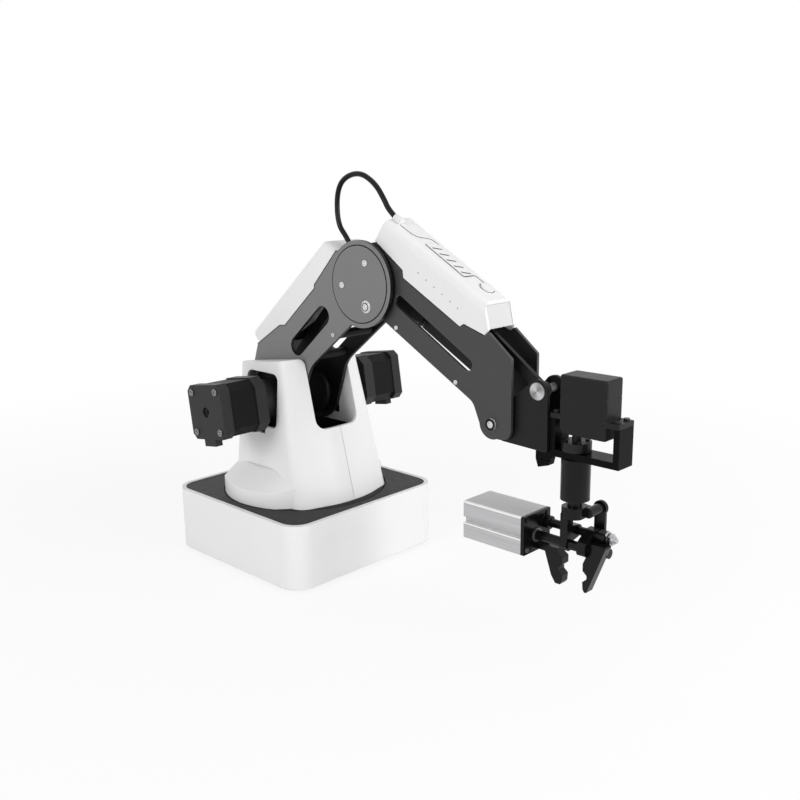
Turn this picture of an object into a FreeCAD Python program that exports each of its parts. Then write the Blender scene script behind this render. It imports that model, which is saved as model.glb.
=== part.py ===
import FreeCAD, Part
import math
import os

os.makedirs("parts", exist_ok=True)
V = FreeCAD.Vector

# Driving sizes, in millimetres and degrees
base_side = 158.0
base_height = 54.1
base_corner = 18.0
base_wall = 3.4
foot_height = 3.0
foot_radius = 7.0
mount_pitch = 90.0
mount_hole = 2.75
plate_thick = 2.6
deck_drop = 14.1
deck_thick = 3.0
turret_radius = 67.4
turret_wall = 2.5
slot_half = 22.0
slot_drop = 21.5
shoulder_height = 134.0
rear_length = 135.0
rear_lean = 43.8
rear_half = 21.0
rear_plate = 3.0
fore_length = 147.0
fore_drop = 35.6
fore_half = 15.2
fore_plate = 2.5
elbow_radius = 32.0
disc_radius = 28.2
disc_gap = 0.25
axle_radius = 10.0
hub_radius = 12.0
crank_radius = 26.0
link_thick = 3.0
link_half = 4.0
pin_radius = 3.0
level_x = 33.5
level_z = 26.7
motor_side = 42.3
motor_face = 95.9
motor_tilt = 8.4
gear_radius = 16.5
wrist_half = 10.5
wrist_plate = 2.5
tool_offset = 57.4
sleeve_radius = 9.65
jaw_gap = 15.7
jaw_thick = 7.0
rod_radius = 3.3
cable_radius = 1.9
run = 0.05
gap = 0.4

# Derived places
rear_in = rear_half - rear_plate
fore_in = fore_half - fore_plate
lean = math.radians(rear_lean)
drop = math.radians(fore_drop)
shoulder = (0.0, shoulder_height)
elbow = (rear_length * math.sin(lean), shoulder_height + rear_length * math.cos(lean))
wrist = (elbow[0] + fore_length * math.cos(drop), elbow[1] - fore_length * math.sin(drop))
rear_turn = rear_lean - 90.0
fore_turn = fore_drop
plate_top = base_height - 0.4
plate_low = plate_top - plate_thick
deck_level = base_height - deck_drop
slot_floor = shoulder_height - slot_drop
deck_top = deck_level + deck_thick
floor_top = foot_height + 2.5
tail = (-crank_radius * math.cos(drop), crank_radius * math.sin(drop))
anchor = (-crank_radius * math.sqrt(0.5), crank_radius * math.sqrt(0.5))
tool_x = wrist[0] + tool_offset
rl = rear_length / 135.0
fl = fore_length / 147.0
tall = shoulder_height + 90.0
wide = base_side * 0.6


def save(name, shape):
    shape.exportStep("parts/" + name + ".step")


def group(shapes):
    return Part.makeCompound(shapes)


def fuse(shapes):
    body = shapes[0]
    for other in shapes[1:]:
        body = body.fuse(other)
    return body.removeSplitter()


def box(x0, x1, y0, y1, z0, z1):
    return Part.makeBox(x1 - x0, y1 - y0, z1 - z0, V(x0, y0, z0))


def rod_x(y, z, r, x0, x1):
    return Part.makeCylinder(r, x1 - x0, V(x0, y, z), V(1, 0, 0))


def rod_y(p, r, y0, y1):
    return Part.makeCylinder(r, y1 - y0, V(p[0], y0, p[1]), V(0, 1, 0))


def rod_z(x, y, r, z0, z1):
    return Part.makeCylinder(r, z1 - z0, V(x, y, z0), V(0, 0, 1))


def outline(points, place):
    # A third number in a point rounds that corner by its radius
    count = len(points)
    first = []
    last = []
    middle = []
    for i in range(count):
        p = place(points[i][0], points[i][1])
        r = points[i][2] if len(points[i]) > 2 else 0.0
        if r <= 0.0:
            first.append(p)
            last.append(p)
            middle.append(None)
            continue
        before = points[i - 1]
        after = points[(i + 1) % count]
        a = (place(before[0], before[1]) - p).normalize()
        b = (place(after[0], after[1]) - p).normalize()
        half = math.acos(max(-1.0, min(1.0, a.dot(b)))) / 2.0
        bisector = (a + b).normalize()
        run_in = r / math.tan(half)
        first.append(p + a * run_in)
        last.append(p + b * run_in)
        middle.append(p + bisector * (r / math.sin(half) - r))
    edges = []
    for i in range(count):
        j = (i + 1) % count
        if middle[i] is not None:
            edges.append(Part.Arc(first[i], middle[i], last[i]).toShape())
        if last[i].distanceToPoint(first[j]) > 1e-5:
            edges.append(Part.makeLine(last[i], first[j]))
    return Part.Wire(edges)


def prism_y(points, y0, y1):
    wire = outline(points, lambda u, v: V(u, y0, v))
    return Part.Face(wire).extrude(V(0, y1 - y0, 0))


def prism_z(points, z0, z1):
    wire = outline(points, lambda u, v: V(u, v, z0))
    return Part.Face(wire).extrude(V(0, 0, z1 - z0))


def prism_x(points, x0, x1):
    wire = outline(points, lambda u, v: V(x0, u, v))
    return Part.Face(wire).extrude(V(x1 - x0, 0, 0))


def square(x0, x1, y0, y1, r):
    return [(x0, y0, r), (x1, y0, r), (x1, y1, r), (x0, y1, r)]


def slot_y(a, b, r, y0, y1):
    # Round ended slot between two points of the X Z plane
    d = V(b[0] - a[0], 0, b[1] - a[1]).normalize()
    n = V(-d.z, 0, d.x)
    body = prism_y([(a[0] + n.x * r, a[1] + n.z * r), (a[0] - n.x * r, a[1] - n.z * r),
                    (b[0] - n.x * r, b[1] - n.z * r), (b[0] + n.x * r, b[1] + n.z * r)], y0, y1)
    return fuse([body, rod_y(a, r, y0, y1), rod_y(b, r, y0, y1)])


def placed(shape, pivot, turn):
    # Arm shapes are drawn along X with the pivot at the origin, then turned about Y
    moved = shape.copy()
    moved.rotate(V(0, 0, 0), V(0, 1, 0), turn)
    moved.translate(V(pivot[0], 0, pivot[1]))
    return moved


def rear(shape):
    return placed(shape, shoulder, rear_turn)


def fore(shape):
    return placed(shape, elbow, fore_turn)


def mirror_y(shape):
    return shape.mirror(V(0, 0, 0), V(0, 1, 0))


def both(shape):
    return group([shape, mirror_y(shape)])


def add(p, q):
    return (p[0] + q[0], p[1] + q[1])


def screw_y(p, r, y, height):
    # Socket head standing out of the face at y toward the outside
    if y > 0:
        head = rod_y(p, r, y, y + height)
        return head.cut(rod_y(p, r * 0.5, y + height * 0.4, y + height + 1))
    head = rod_y(p, r, y - height, y)
    return head.cut(rod_y(p, r * 0.5, y - height - 1, y - height * 0.4))


# Base
half = base_side / 2.0
inner = half - base_wall
shell = prism_z(square(-half, half, -half, half, base_corner), foot_height, base_height)
shell = shell.cut(prism_z(square(-inner, inner, -inner, inner, base_corner - base_wall), 0, base_height + 1))
port_half = 46.0
port_low = 13.0
port_high = deck_level - 3.1
shell = shell.cut(box(-half - 1, -inner + 1, -port_half, port_half, port_low, port_high))
post_out = inner - 1.5
post_side = 13.0
posts = []
for sx in (-1, 1):
    for sy in (-1, 1):
        x = sx * (post_out - post_side / 2.0)
        y = sy * (post_out - post_side / 2.0)
        cell = box(x - post_side, x + post_side, y - post_side, y + post_side, floor_top, deck_level)
        posts.append(cell.common(prism_z(square(-inner, inner, -inner, inner, base_corner - base_wall),
                                         floor_top, deck_level)))
save("base_housing", fuse([shell] + posts))

plate_out = inner - 0.1
plate_corner = base_corner - base_wall
top = prism_z(square(-plate_out, plate_out, -plate_out, plate_out, plate_corner), plate_low, plate_top)
save("base_top_plate", top.cut(rod_z(0, 0, turret_radius + 0.8, plate_low - 1, plate_top + 1)))

bottom = prism_z(square(-plate_out, plate_out, -plate_out, plate_out, plate_corner), foot_height, floor_top)
board_x0 = -12.0
board_x1 = 62.0
board_half = 44.0
board_low = floor_top + 5.0
board_thick = 1.6
pads = []
holes = []
for sx in (-1, 1):
    for sy in (-1, 1):
        pads.append(rod_z(sx * mount_pitch / 2, sy * mount_pitch / 2, mount_hole + 3.5, 0, foot_height))
        holes.append(rod_z(sx * mount_pitch / 2, sy * mount_pitch / 2, mount_hole, -1, floor_top + 1))
stand = []
for x in (board_x0 + 5.0, board_x1 - 5.0):
    for y in (-board_half + 14.0, board_half - 14.0):
        stand.append(rod_z(x, y, 3.0, floor_top, board_low))
save("base_bottom_plate", fuse([bottom] + stand + pads).cut(group(holes)))

foot_step = 13.0
foot_place = mount_pitch / 2 + foot_step
feet = []
for sx in (-1, 1):
    for sy in (-1, 1):
        foot = Part.makeCone(foot_radius - 1.0, foot_radius, foot_height,
                             V(sx * foot_place, sy * foot_place, 0), V(0, 0, 1))
        feet.append(foot)
save("rubber_feet", group(feet))

deck = prism_z(square(-plate_out, plate_out, -plate_out, plate_out, plate_corner), deck_level, deck_top)
base_motor_x = -46.0
deck = deck.cut(rod_z(base_motor_x, 0, 11.0 + run, deck_level - 1, deck_top + 1))
deck = deck.cut(rod_z(0, 0, 13.0, deck_level - 1, deck_top + 1))
pillars = []
for sx in (-1, 1):
    for sy in (-1, 1):
        pillars.append(rod_z(sx * (half - 17.0), sy * (half - 17.0), 5.0, deck_top, plate_low))
save("base_deck", fuse([deck] + pillars))

panel_x = -inner
panel_thick = 2.2
panel = box(panel_x, panel_x + panel_thick, -port_half - 3, port_half + 3, port_low - 3, port_high + 2.5)
button_y = -34.0
reset_y = -19.0
port_mid = (port_low + port_high) / 2.0
button_radius = 6.0
reset_radius = 3.0
panel = panel.cut(rod_x(button_y, port_mid, button_radius + 0.1, panel_x - 5, panel_x + 5))
panel = panel.cut(rod_x(reset_y, port_mid, reset_radius + 0.1, panel_x - 5, panel_x + 5))
sockets = []
for y in (-6.0, 8.0, 22.0):
    sockets.append(box(panel_x - 1.6, panel_x, y - 5.0, y + 5.0, port_mid - 4.0, port_mid + 4.0))
sockets.append(rod_x(36.0, port_mid, 6.0, panel_x - 1.6, panel_x))
panel = fuse([panel] + sockets)
for y in (-6.0, 8.0, 22.0):
    panel = panel.cut(box(panel_x - 2, panel_x - 0.4, y - 3.6, y + 3.6, port_mid - 2.6, port_mid + 2.6))
panel = panel.cut(rod_x(36.0, port_mid, 4.0, panel_x - 2, panel_x - 0.4))
save("rear_port_panel", panel)


def panel_button(y, r, reach):
    back = panel_x + panel_thick + 0.1
    cap = rod_x(y, port_mid, r, panel_x - reach, back)
    flange = rod_x(y, port_mid, r + 1.2, back, back + 1.5)
    return fuse([cap, flange])


save("power_button", panel_button(button_y, button_radius, 2.6))
save("reset_key", panel_button(reset_y, reset_radius, 1.6))

motor_low = floor_top + 1.0
base_stack = motor_side / 2.0
case = prism_z([(base_motor_x - base_stack, -base_stack, 4), (base_motor_x + base_stack, -base_stack, 4),
                (base_motor_x + base_stack, base_stack, 4), (base_motor_x - base_stack, base_stack, 4)],
               motor_low, deck_level)
case = fuse([case, rod_z(base_motor_x, 0, 11.0, deck_level, deck_level + 2.0)])
case = case.cut(rod_z(base_motor_x, 0, 2.5 + run, deck_level - 6, deck_level + 3))
save("base_motor", case)

small_pulley = 8.0
large_pulley = 32.0
pulley_low = deck_top + 2.6
pulley_high = plate_low
save("motor_pulley", fuse([rod_z(base_motor_x, 0, 2.5, deck_level - 5, pulley_low),
                           rod_z(base_motor_x, 0, small_pulley, pulley_low, pulley_high - 0.5)]))


def belt_loop(grow, z0, z1):
    r1 = small_pulley + grow
    r2 = large_pulley + grow
    span = -base_motor_x
    c = (r1 - r2) / span
    s = math.sqrt(1.0 - c * c)
    a = V(base_motor_x + r1 * c, r1 * s, z0)
    b = V(r2 * c, r2 * s, z0)
    d = V(base_motor_x + r1 * c, -r1 * s, z0)
    e = V(r2 * c, -r2 * s, z0)
    edges = [Part.makeLine(a, b), Part.Arc(b, V(r2, 0, z0), e).toShape(), Part.makeLine(e, d),
             Part.Arc(d, V(base_motor_x - r1, 0, z0), a).toShape()]
    return Part.Face(Part.Wire(edges)).extrude(V(0, 0, z1 - z0))


belt = belt_loop(1.4, pulley_low + 0.6, pulley_high - 0.8)
save("base_drive_belt", belt.cut(belt_loop(0.1, pulley_low, pulley_high)))

board = box(board_x0, board_x1, -board_half, board_half, board_low, board_low + board_thick)
chips = []
for x, y, w, h in ((14.0, -12.0, 14.0, 2.0), (14.0, 22.0, 9.0, 6.0), (42.0, 22.0, 9.0, 6.0), (42.0, -20.0, 9.0, 6.0)):
    chips.append(box(x - w / 2, x + w / 2, y - w / 2, y + w / 2, board_low + board_thick,
                     board_low + board_thick + h))
save("control_board", fuse([board] + chips))

spindle = 18.0
ring = fuse([rod_z(0, 0, 26.0, deck_top, deck_top + 2.5), rod_z(0, 0, spindle, deck_top + 2.5, plate_low - 0.2)])
save("turntable_ring", ring.cut(rod_z(0, 0, 13.0, deck_top - 1, plate_top)))

# Turret
save("yaw_pulley", rod_z(0, 0, large_pulley, pulley_low, pulley_high)
     .cut(rod_z(0, 0, spindle + run, pulley_low - 1, pulley_high + 1)))

upright_in = slot_half + 4.0
upright_out = upright_in + 4.0
upright_top = shoulder_height + 22.0
hub_bore = hub_radius + run
floor = rod_z(0, 0, turret_radius, plate_low, plate_top).cut(rod_z(0, 0, 13.0, plate_low - 1, plate_top + 1))
upright = prism_y([(-24, plate_top), (24, plate_top), (22, upright_top, 12), (-22, upright_top, 12)],
                  upright_in, upright_out)
upright = upright.cut(rod_y(shoulder, hub_bore, upright_in - 1, upright_out + 1))
anchor_at = add(shoulder, anchor)
post = prism_y([(anchor_at[0] - 6, plate_top), (anchor_at[0] + 10, plate_top), (anchor_at[0] + 5, plate_top + 40),
                (anchor_at[0] + 5, anchor_at[1]), (anchor_at[0] - 5, anchor_at[1])], -6.0, 2.0)
post = fuse([post, rod_y(anchor_at, 5.0, -6.0, 2.0), rod_y(anchor_at, pin_radius, 2.0, 2.0 + gap + link_thick)])
save("turret_frame", fuse([floor, upright, mirror_y(upright), post]))

tower_low = plate_top
tower_high = shoulder_height + 38.0
front_low = 60.9
front_high = 30.5
edge_low = 50.0
edge_high = 27.5
back_low = -38.0
back_high = -34.0
side_low = 49.0
side_high = 39.0


def tower(inset, z0, z1):
    wires = []
    for z in (z0, z1):
        t = (z - tower_low) / (tower_high - tower_low)
        front = front_low + (front_high - front_low) * t - inset
        back = back_low + (back_high - back_low) * t + inset
        side = side_low + (side_high - side_low) * t - inset
        edge = edge_low + (edge_high - edge_low) * t - inset
        flat = side * 0.286
        pts = [(back, -side, 12 - inset), (edge, -side, 13 - inset), (front, -flat, 66 - inset),
               (front, flat, 66 - inset), (edge, side, 13 - inset), (back, side, 12 - inset)]
        wires.append(outline(pts, lambda u, v: V(u, v, z)))
    return Part.makeLoft(wires, True, True)


wing_slope = 8.4 / 62.0
wing_top = shoulder_height + 31.1


def below_top(lower):
    # Everything under the slanted top of the turret wings
    z0 = wing_top - wide * wing_slope - lower
    z1 = wing_top + wide * wing_slope - lower
    return prism_y([(-wide, 0), (wide, 0), (wide, z1), (-wide, z0)], -wide, wide)


drum_radius = turret_radius - 0.2
drum = rod_z(0, 0, drum_radius, tower_low, tower_high + 5)
body = tower(0.0, tower_low, tower_high).common(drum).common(below_top(0.0))
skirt_low = plate_top + 12.8
skirt_high = plate_top + 27.0
skirt_neck = drum_radius - 17.2


def skirt_shape(inset, low, high):
    # Side skirt with an upright outer wall and a slanted top that runs up to the turret wall
    pts = [(-37.0 + inset, -30.0 + inset), (-37.0 + inset, -70.0), (22.4 - 1.4 * inset, -70.0),
           (45.0 - 1.4 * inset, -44.3), (45.0 - 1.4 * inset, -30.0 + inset)]
    r = drum_radius - inset
    solid = fuse([rod_z(0, 0, r, low, skirt_low - inset / 2),
                  Part.makeCone(r, skirt_neck - inset, high - skirt_low, V(0, 0, skirt_low - inset / 2))])
    return prism_z(pts, low, high).common(solid)


skirt = skirt_shape(0.0, tower_low, skirt_high)
skirt_in = skirt_shape(turret_wall, tower_low - 1, skirt_high - turret_wall)
body = body.fuse(skirt).fuse(mirror_y(skirt))
hollow = tower(turret_wall, tower_low - 0.5, tower_high)
hollow = hollow.common(rod_z(0, 0, drum_radius - turret_wall, tower_low - 1, tower_high + 5))
wall_in = slot_half + 2.0
wing = hollow.common(below_top(turret_wall))
low_room = hollow.common(box(-wide, wide, -wall_in - 1, wall_in + 1, 0, slot_floor - 4.0))
mid_room = hollow.common(box(-wide, wide, -slot_half, slot_half, slot_floor - 5.0, tall))
for room in (wing.common(box(-wide, wide, wall_in, wide, 0, tall)),
             wing.common(box(-wide, wide, -wide, -wall_in, 0, tall)), low_room, mid_room, skirt_in, mirror_y(skirt_in)):
    body = body.cut(room)
opening = prism_x([(-slot_half, slot_floor, 8), (slot_half, slot_floor, 8), (slot_half, tall), (-slot_half, tall)],
                  -wide, wide)
body = body.cut(opening)
bay_high = shoulder_height + 23.0
body = body.cut(box(-27.0, 21.0, -wall_in - 1, wall_in + 1, slot_floor + 3.0, bay_high))
wing_round = 6.5
ridge = box(-wide, wide, slot_half - 0.1, slot_half + wing_round, -wing_round, 6.0)
ridge = ridge.cut(rod_x(slot_half + wing_round, -wing_round, wing_round, -wide - 1, wide + 1))
ridge.rotate(V(0, 0, 0), V(0, 1, 0), -math.degrees(math.atan(wing_slope)))
ridge.translate(V(0, 0, wing_top))
motor_low_z = shoulder_height - 20.0
motor_high_z = shoulder_height + 23.0
window = prism_y([(-19.5, motor_low_z, 4), (19.0, motor_low_z, 4), (19.0, motor_high_z, 6), (-19.5, motor_high_z, 6)],
                 wall_in + 1, wide)
notch = box(-2, 5, wall_in + 4, wide, motor_low_z - 6, motor_low_z + 1)
for hole in (window, notch, ridge):
    body = body.cut(hole).cut(mirror_y(hole))
seam = box(10, wide, -0.2, 0.2, tower_low - 1, tall).cut(tower(0.5, tower_low - 2, tower_high))
body = body.cut(seam).removeSplitter()
save("turret_shell_right", body.common(box(-wide, wide, -wide, 0, 0, tall)))
save("turret_shell_left", body.common(box(-wide, wide, 0, wide, 0, tall)))


def motor(shape):
    return placed(shape, shoulder, -motor_tilt)


cap_thick = 9.0
front_cap = 10.0
gear_end = upright_out + 23.0
stack_in = gear_end + front_cap
stack_out = motor_face - cap_thick
ms = motor_side / 2.0


def motor_block(c, y0, y1, shrink):
    # Square block with its four long corners cut off by c
    s = ms - shrink
    return prism_y([(c - s, -s), (s - c, -s), (s, c - s), (s, s - c), (s - c, s), (c - s, s), (-s, s - c), (-s, c - s)],
                   y0, y1)


stack = motor(motor_block(6.0, stack_in, stack_out, 0.7))
save("motor_stacks", both(stack))
rear_cap = motor_block(4.4, stack_out, motor_face, 0.0)
rear_cap = rear_cap.cut(rod_y((0, 0), 4.0, motor_face - 2.0, motor_face + 1))
rear_cap = rear_cap.cut(rod_y((0, 0), 1.6, motor_face - 4.0, motor_face + 1))
rear_cap = fuse([rear_cap, box(-8.0, 6.0, motor_face - 7.0, motor_face - 0.6, -ms - 5.5, -ms + 0.6)])
front = motor_block(7.0, gear_end, stack_in, -0.3)
caps = [motor(rear_cap), motor(front)]
save("motor_end_caps", group(caps + [mirror_y(c) for c in caps]))
gear = motor(fuse([rod_y((0, 0), gear_radius, upright_out, gear_end - 4.0),
                   rod_y((0, 0), gear_radius - 2.0, gear_end - 4.0, gear_end)]))
save("motor_gearboxes", both(gear))
bolts = []
for sx in (-1, 1):
    for sz in (-1, 1):
        bolts.append(motor(screw_y((sx * 15.5, sz * 15.5), 2.7, motor_face, 0.9)))
bolts = bolts + [mirror_y(b) for b in bolts]
save("motor_screws", group(bolts))

# Rear arm
rear_back = [(135.4, 33.4), (97.9, 33.2), (95.9, 31.4), (47.1, 36.0), (42.1, 40.3), (8.4, 49.0)]
ring_end = (rear_length, 0.0)


def rear_outline():
    border = [(a * rl, b) for a, b in rear_back]
    tip = [(-7.3, 42.0, 3), (-23.0, 10.0, 8), (-23.0, -14.0, 10), (-8.0, -24.0, 10), (14.0, -20.0, 16)]
    low = [(44.5 * rl, -5.9, 30), (93.1 * rl, -12.4), (rear_length - 16.0, -16.0)]
    return border + tip + low + [(rear_length, 0.0)]


plate = prism_y(rear_outline(), rear_in, rear_half)
plate = fuse([plate, rod_y(ring_end, elbow_radius, rear_in, rear_half), rod_y((0, 0), 24.0, rear_in, rear_half)])
plate = plate.cut(rod_y(ring_end, disc_radius + disc_gap, rear_in - 1, rear_half + 1))
plate = plate.cut(slot_y((46.0 * rl, 15.0), (87.0 * rl, 11.2), 7.6, rear_in - 1, rear_half + 1))
bolt_places = [(85.7 * rl, -6.8), (50.0 * rl, 0.0), (22.0 * rl, 41.0)]
right_plate = mirror_y(plate)
left_plate = plate.cut(rod_y((0, 0), hub_bore, rear_in - 1, rear_half + 1))
save("rear_arm_plate_right", rear(right_plate))
save("rear_arm_plate_left", rear(left_plate))

cover_pts = [(a * rl, b) for a, b in rear_back]
cover_pts = cover_pts + [(8.1 * rl, 60.9, 5), (129.0 * rl, 49.0, 1.5)]
cover = prism_y(cover_pts, -rear_half, rear_half)
top_edges = []
for edge in cover.Edges:
    c = edge.CenterOfMass
    if abs(abs(c.y) - rear_half) < 0.01 and c.z > 50.5 and abs(c.x - 68.5 * rl) < 20.0:
        top_edges.append(edge)
cover = cover.makeFillet(5.0, top_edges)
wall = 2.4
room_pts = [(131.0 * rl, 20.0), (6.0 * rl, 20.0), (10.8 * rl, 58.2, 3), (126.8 * rl, 46.6, 1)]
room = prism_y(room_pts, -rear_half + wall, rear_half - wall)
cover = cover.cut(room)
lip = box(52.0 * rl, 90.0 * rl, rear_in - 2.0, rear_in, 28.0, 38.0)
bridge = box(52.0 * rl, 90.0 * rl, rear_in - 2.0, rear_half - wall + 0.5, 37.0, 39.0)
cover = fuse([cover, lip, mirror_y(lip), bridge, mirror_y(bridge)])
save("rear_arm_cover", rear(cover))

stands = []
heads = []
for p in bolt_places:
    stands.append(rear(rod_y(p, 3.5, -rear_in, rear_in)))
for y in (rear_half, -rear_half):
    heads.append(rear(screw_y(bolt_places[0], 1.7, y, 0.9)))
save("rear_arm_standoffs", group(stands))
save("rear_arm_screws", group(heads))

bearing = rod_y(elbow, elbow_radius - 1.0, fore_half + 0.2, rear_in)
bearing = bearing.cut(rod_y(elbow, axle_radius + run, fore_half, rear_in + 1))
save("elbow_bearings", both(bearing))

hub = fuse([rod_y(shoulder, 15.0, -upright_in + 0.6, -rear_half),
            rod_y(shoulder, hub_radius, -upright_out + 0.1, -upright_in + 0.6)])
save("shoulder_hub", hub)

# Drive crank, its bush and the links
link_low = 7.0
link_high = link_low + link_thick
crank_low = link_high + gap
crank_high = crank_low + 3.0
bush_radius = 5.0


def strip_y(a, b, ra, rb, y0, y1):
    # Flat link with a round eye at each end
    d = V(b[0] - a[0], 0, b[1] - a[1]).normalize()
    n = V(-d.z, 0, d.x)
    w = link_half
    flat = prism_y([(a[0] + n.x * w, a[1] + n.z * w), (a[0] - n.x * w, a[1] - n.z * w),
                    (b[0] - n.x * w, b[1] - n.z * w), (b[0] + n.x * w, b[1] + n.z * w)], y0, y1)
    return fuse([flat, rod_y(a, ra, y0, y1), rod_y(b, rb, y0, y1)])


crank_pin = add(shoulder, tail)
tail_pin = add(elbow, tail)
crank = strip_y(shoulder, crank_pin, hub_radius + 2.0, 6.0, crank_low, crank_high)
crank = fuse([crank, rod_y(shoulder, 19.5, crank_low, crank_high), rod_y(shoulder, 16.0, crank_high, rear_in - gap),
              rod_y(shoulder, hub_radius, crank_high, upright_out - 0.1),
              rod_y(crank_pin, pin_radius, link_low, crank_low)])
save("drive_crank", crank)
bush = rod_y(crank_pin, bush_radius, link_low, link_high)
save("crank_pin_bush", bush.cut(rod_y(crank_pin, pin_radius + run, link_low - 1, link_high + 1)))
drive = strip_y(crank_pin, tail_pin, bush_radius + 1.6, bush_radius + 1.6, link_low, link_high)
for p in (crank_pin, tail_pin):
    drive = drive.cut(rod_y(p, bush_radius + run, link_low - 1, link_high + 1))
save("drive_link", drive)

level_low = 2.0 + gap
rear_pivot = add(elbow, anchor)
rear_link = strip_y(anchor_at, rear_pivot, 5.0, 5.0, level_low, level_low + link_thick)
for p in (anchor_at, rear_pivot):
    rear_link = rear_link.cut(rod_y(p, pin_radius + run, level_low - 1, level_low + link_thick + 1))
save("rear_level_link", rear_link)

fore_pivot = add(elbow, (level_x, level_z))
wrist_pivot = add(wrist, (level_x, level_z))
fore_link = strip_y(fore_pivot, wrist_pivot, 5.0, 5.5, -level_low - link_thick, -level_low)
for p in (fore_pivot, wrist_pivot):
    fore_link = fore_link.cut(rod_y(p, pin_radius + run, -level_low - link_thick - 1, -level_low + 1))
save("forearm_level_link", fore_link)

# Elbow, the level body between the two arms
disc_in = rear_in + 0.5
disc_out = rear_half + 0.3
disc = rod_y(elbow, disc_radius - disc_gap, disc_in, disc_out)
save("elbow_discs", both(disc))
level = fuse([rod_y(elbow, axle_radius, -disc_in, disc_in),
              strip_y(elbow, fore_pivot, axle_radius + 2.0, 5.0, -2.0, 2.0),
              strip_y(elbow, rear_pivot, axle_radius + 2.0, 5.0, -2.0, 2.0),
              rod_y(rear_pivot, pin_radius, 2.0, level_low + link_thick),
              rod_y(fore_pivot, pin_radius, -level_low - link_thick, -2.0)])
save("elbow_level_plate", level)
ring_at = 17.4
small = []
for angle in (65.0, 185.0):
    p = add(elbow, (ring_at * math.cos(math.radians(angle)), ring_at * math.sin(math.radians(angle))))
    small.append(screw_y(p, 2.3, disc_out, 1.0))
    small.append(screw_y(p, 2.3, -disc_out, 1.0))
big = add(elbow, (ring_at * math.cos(math.radians(-65.0)), ring_at * math.sin(math.radians(-65.0))))
for side in (-1, 1):
    head = rod_y(big, 4.6, disc_out, disc_out + 0.4).fuse(rod_y(big, 3.2, disc_out + 0.4, disc_out + 1.3))
    head = head.cut(rod_y(big, 1.7, disc_out + 0.6, disc_out + 3)).removeSplitter()
    small.append(head if side > 0 else mirror_y(head))
save("elbow_disc_screws", group(small))

cable_y = -7.0
gland_at = add(elbow, (-15.5, 15.5))
gland_lead = V(-10.0, 0, 15.0).normalize()
gland_long = 6.5
gland = fuse([rod_y(gland_at, 3.4, cable_y - 3.7, -2.0),
              Part.makeCylinder(2.9, gland_long, V(gland_at[0], cable_y, gland_at[1]), gland_lead)])
save("elbow_cable_gland", gland)

# Forearm
fore_back = [(107.0, 44.2), (89.1, 38.5, 3), (87.5, 34.7, 2), (27.9, 28.1, 2), (24.1, 32.2, 2), (-7.7, 32.3)]


def stretch(points, factor):
    return [(p[0] * factor,) + tuple(p[1:]) for p in points]


lobe = 10.5
fore_pts = stretch(fore_back, fl) + [(-20.0, 20.0, 8), (-28.0, 0.0, 12), (-16.0, -22.0, 12), (10.0, -20.0, 12)]
fore_pts = fore_pts + stretch([(28.2, -9.8, 10), (126.4, 0.8, 10)], fl)
fore_pts = fore_pts + [(fore_length - 6.0, -8.0, 4), (fore_length + 5.5, -7.8), (fore_length + 18.6, 1.6, 8)]
fore_pts = fore_pts + [(fore_length - 13.9, 46.6, 2), (108.3 * fl, 48.1, 1)]
side_plate = prism_y(fore_pts, fore_in, fore_half)
side_plate = fuse([side_plate, rod_y((fore_length, 0), lobe, fore_in, fore_half),
                   rod_y((0, 0), crank_radius + 4.0, fore_in, fore_half)])
side_plate = side_plate.cut(rod_y((0, 0), axle_radius + run, fore_in - 1, fore_half + 1))
side_plate = side_plate.cut(rod_y((fore_length, 0), 4.0 + run, fore_in - 1, fore_half + 1))
side_plate = side_plate.cut(slot_y((34.3 * fl, 12.0), (107.5 * fl, 18.2), 4.4, fore_in - 1, fore_half + 1))
washer = rod_y((fore_length, 0), 5.2, fore_half, fore_half + 0.4)
side_plate = fuse([side_plate, washer.cut(rod_y((fore_length, 0), 4.0 + run, fore_half - 1, fore_half + 1))])
left_side = fuse([side_plate, rod_y((-crank_radius, 0), bush_radius, link_low, fore_in)])
save("forearm_plate_left", fore(left_side))
save("forearm_plate_right", fore(mirror_y(side_plate)))

cap_top = (93.0, 61.3)
cap_low = (107.0, 49.0)
end_left = -9.0
left_top = 51.4
shoulder_round = 7.0
cover_pts = stretch(fore_back, fl) + [(end_left, 32.3), (end_left, left_top), (cap_top[0] * fl, cap_top[1])]
cover_pts = cover_pts[:5] + cover_pts[6:] + [(cap_low[0] * fl, cap_low[1])]
skin = prism_y(cover_pts, -fore_half, fore_half)
top_edges = []
for edge in skin.Edges:
    c = edge.CenterOfMass
    if abs(abs(c.y) - fore_half) < 0.01 and abs(c.x - 42.0 * fl) < 6.0 and c.z > 50.0:
        top_edges.append(edge)
skin = skin.makeFillet(shoulder_round, top_edges)
slope = (cap_top[1] - left_top) / (cap_top[0] * fl - end_left)
lower = 2.2
link_room = math.hypot(level_x, level_z) + link_half + 0.8
room_pts = [(end_left - 1, 10.0), (120.0 * fl, 10.0), (120.0 * fl, link_room - 1.5), (105.0 * fl, link_room),
            (92.0 * fl, cap_top[1] - lower - 0.2),
            (end_left - 1, left_top - lower - slope)]
room = prism_y(room_pts, -fore_half + 2.2, fore_half - 2.2)
top_edges = []
for edge in room.Edges:
    c = edge.CenterOfMass
    if abs(abs(c.y) - fore_half + 2.2) < 0.01 and abs(c.x - 41.0 * fl) < 6.0 and c.z > 48.0:
        top_edges.append(edge)
room = room.makeFillet(shoulder_round - 2.0, top_edges)
skin = skin.cut(room)
lip = box(34.0 * fl, 82.0 * fl, fore_in - 1.6, fore_in, 24.0, 36.5)
shelf = box(34.0 * fl, 82.0 * fl, fore_in - 1.6, fore_in + 0.6, 36.5, 38.5)
skin = fuse([skin, lip, mirror_y(lip), shelf, mirror_y(shelf)])
hood = (cap_top[0] * fl, cap_top[1])
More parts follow.
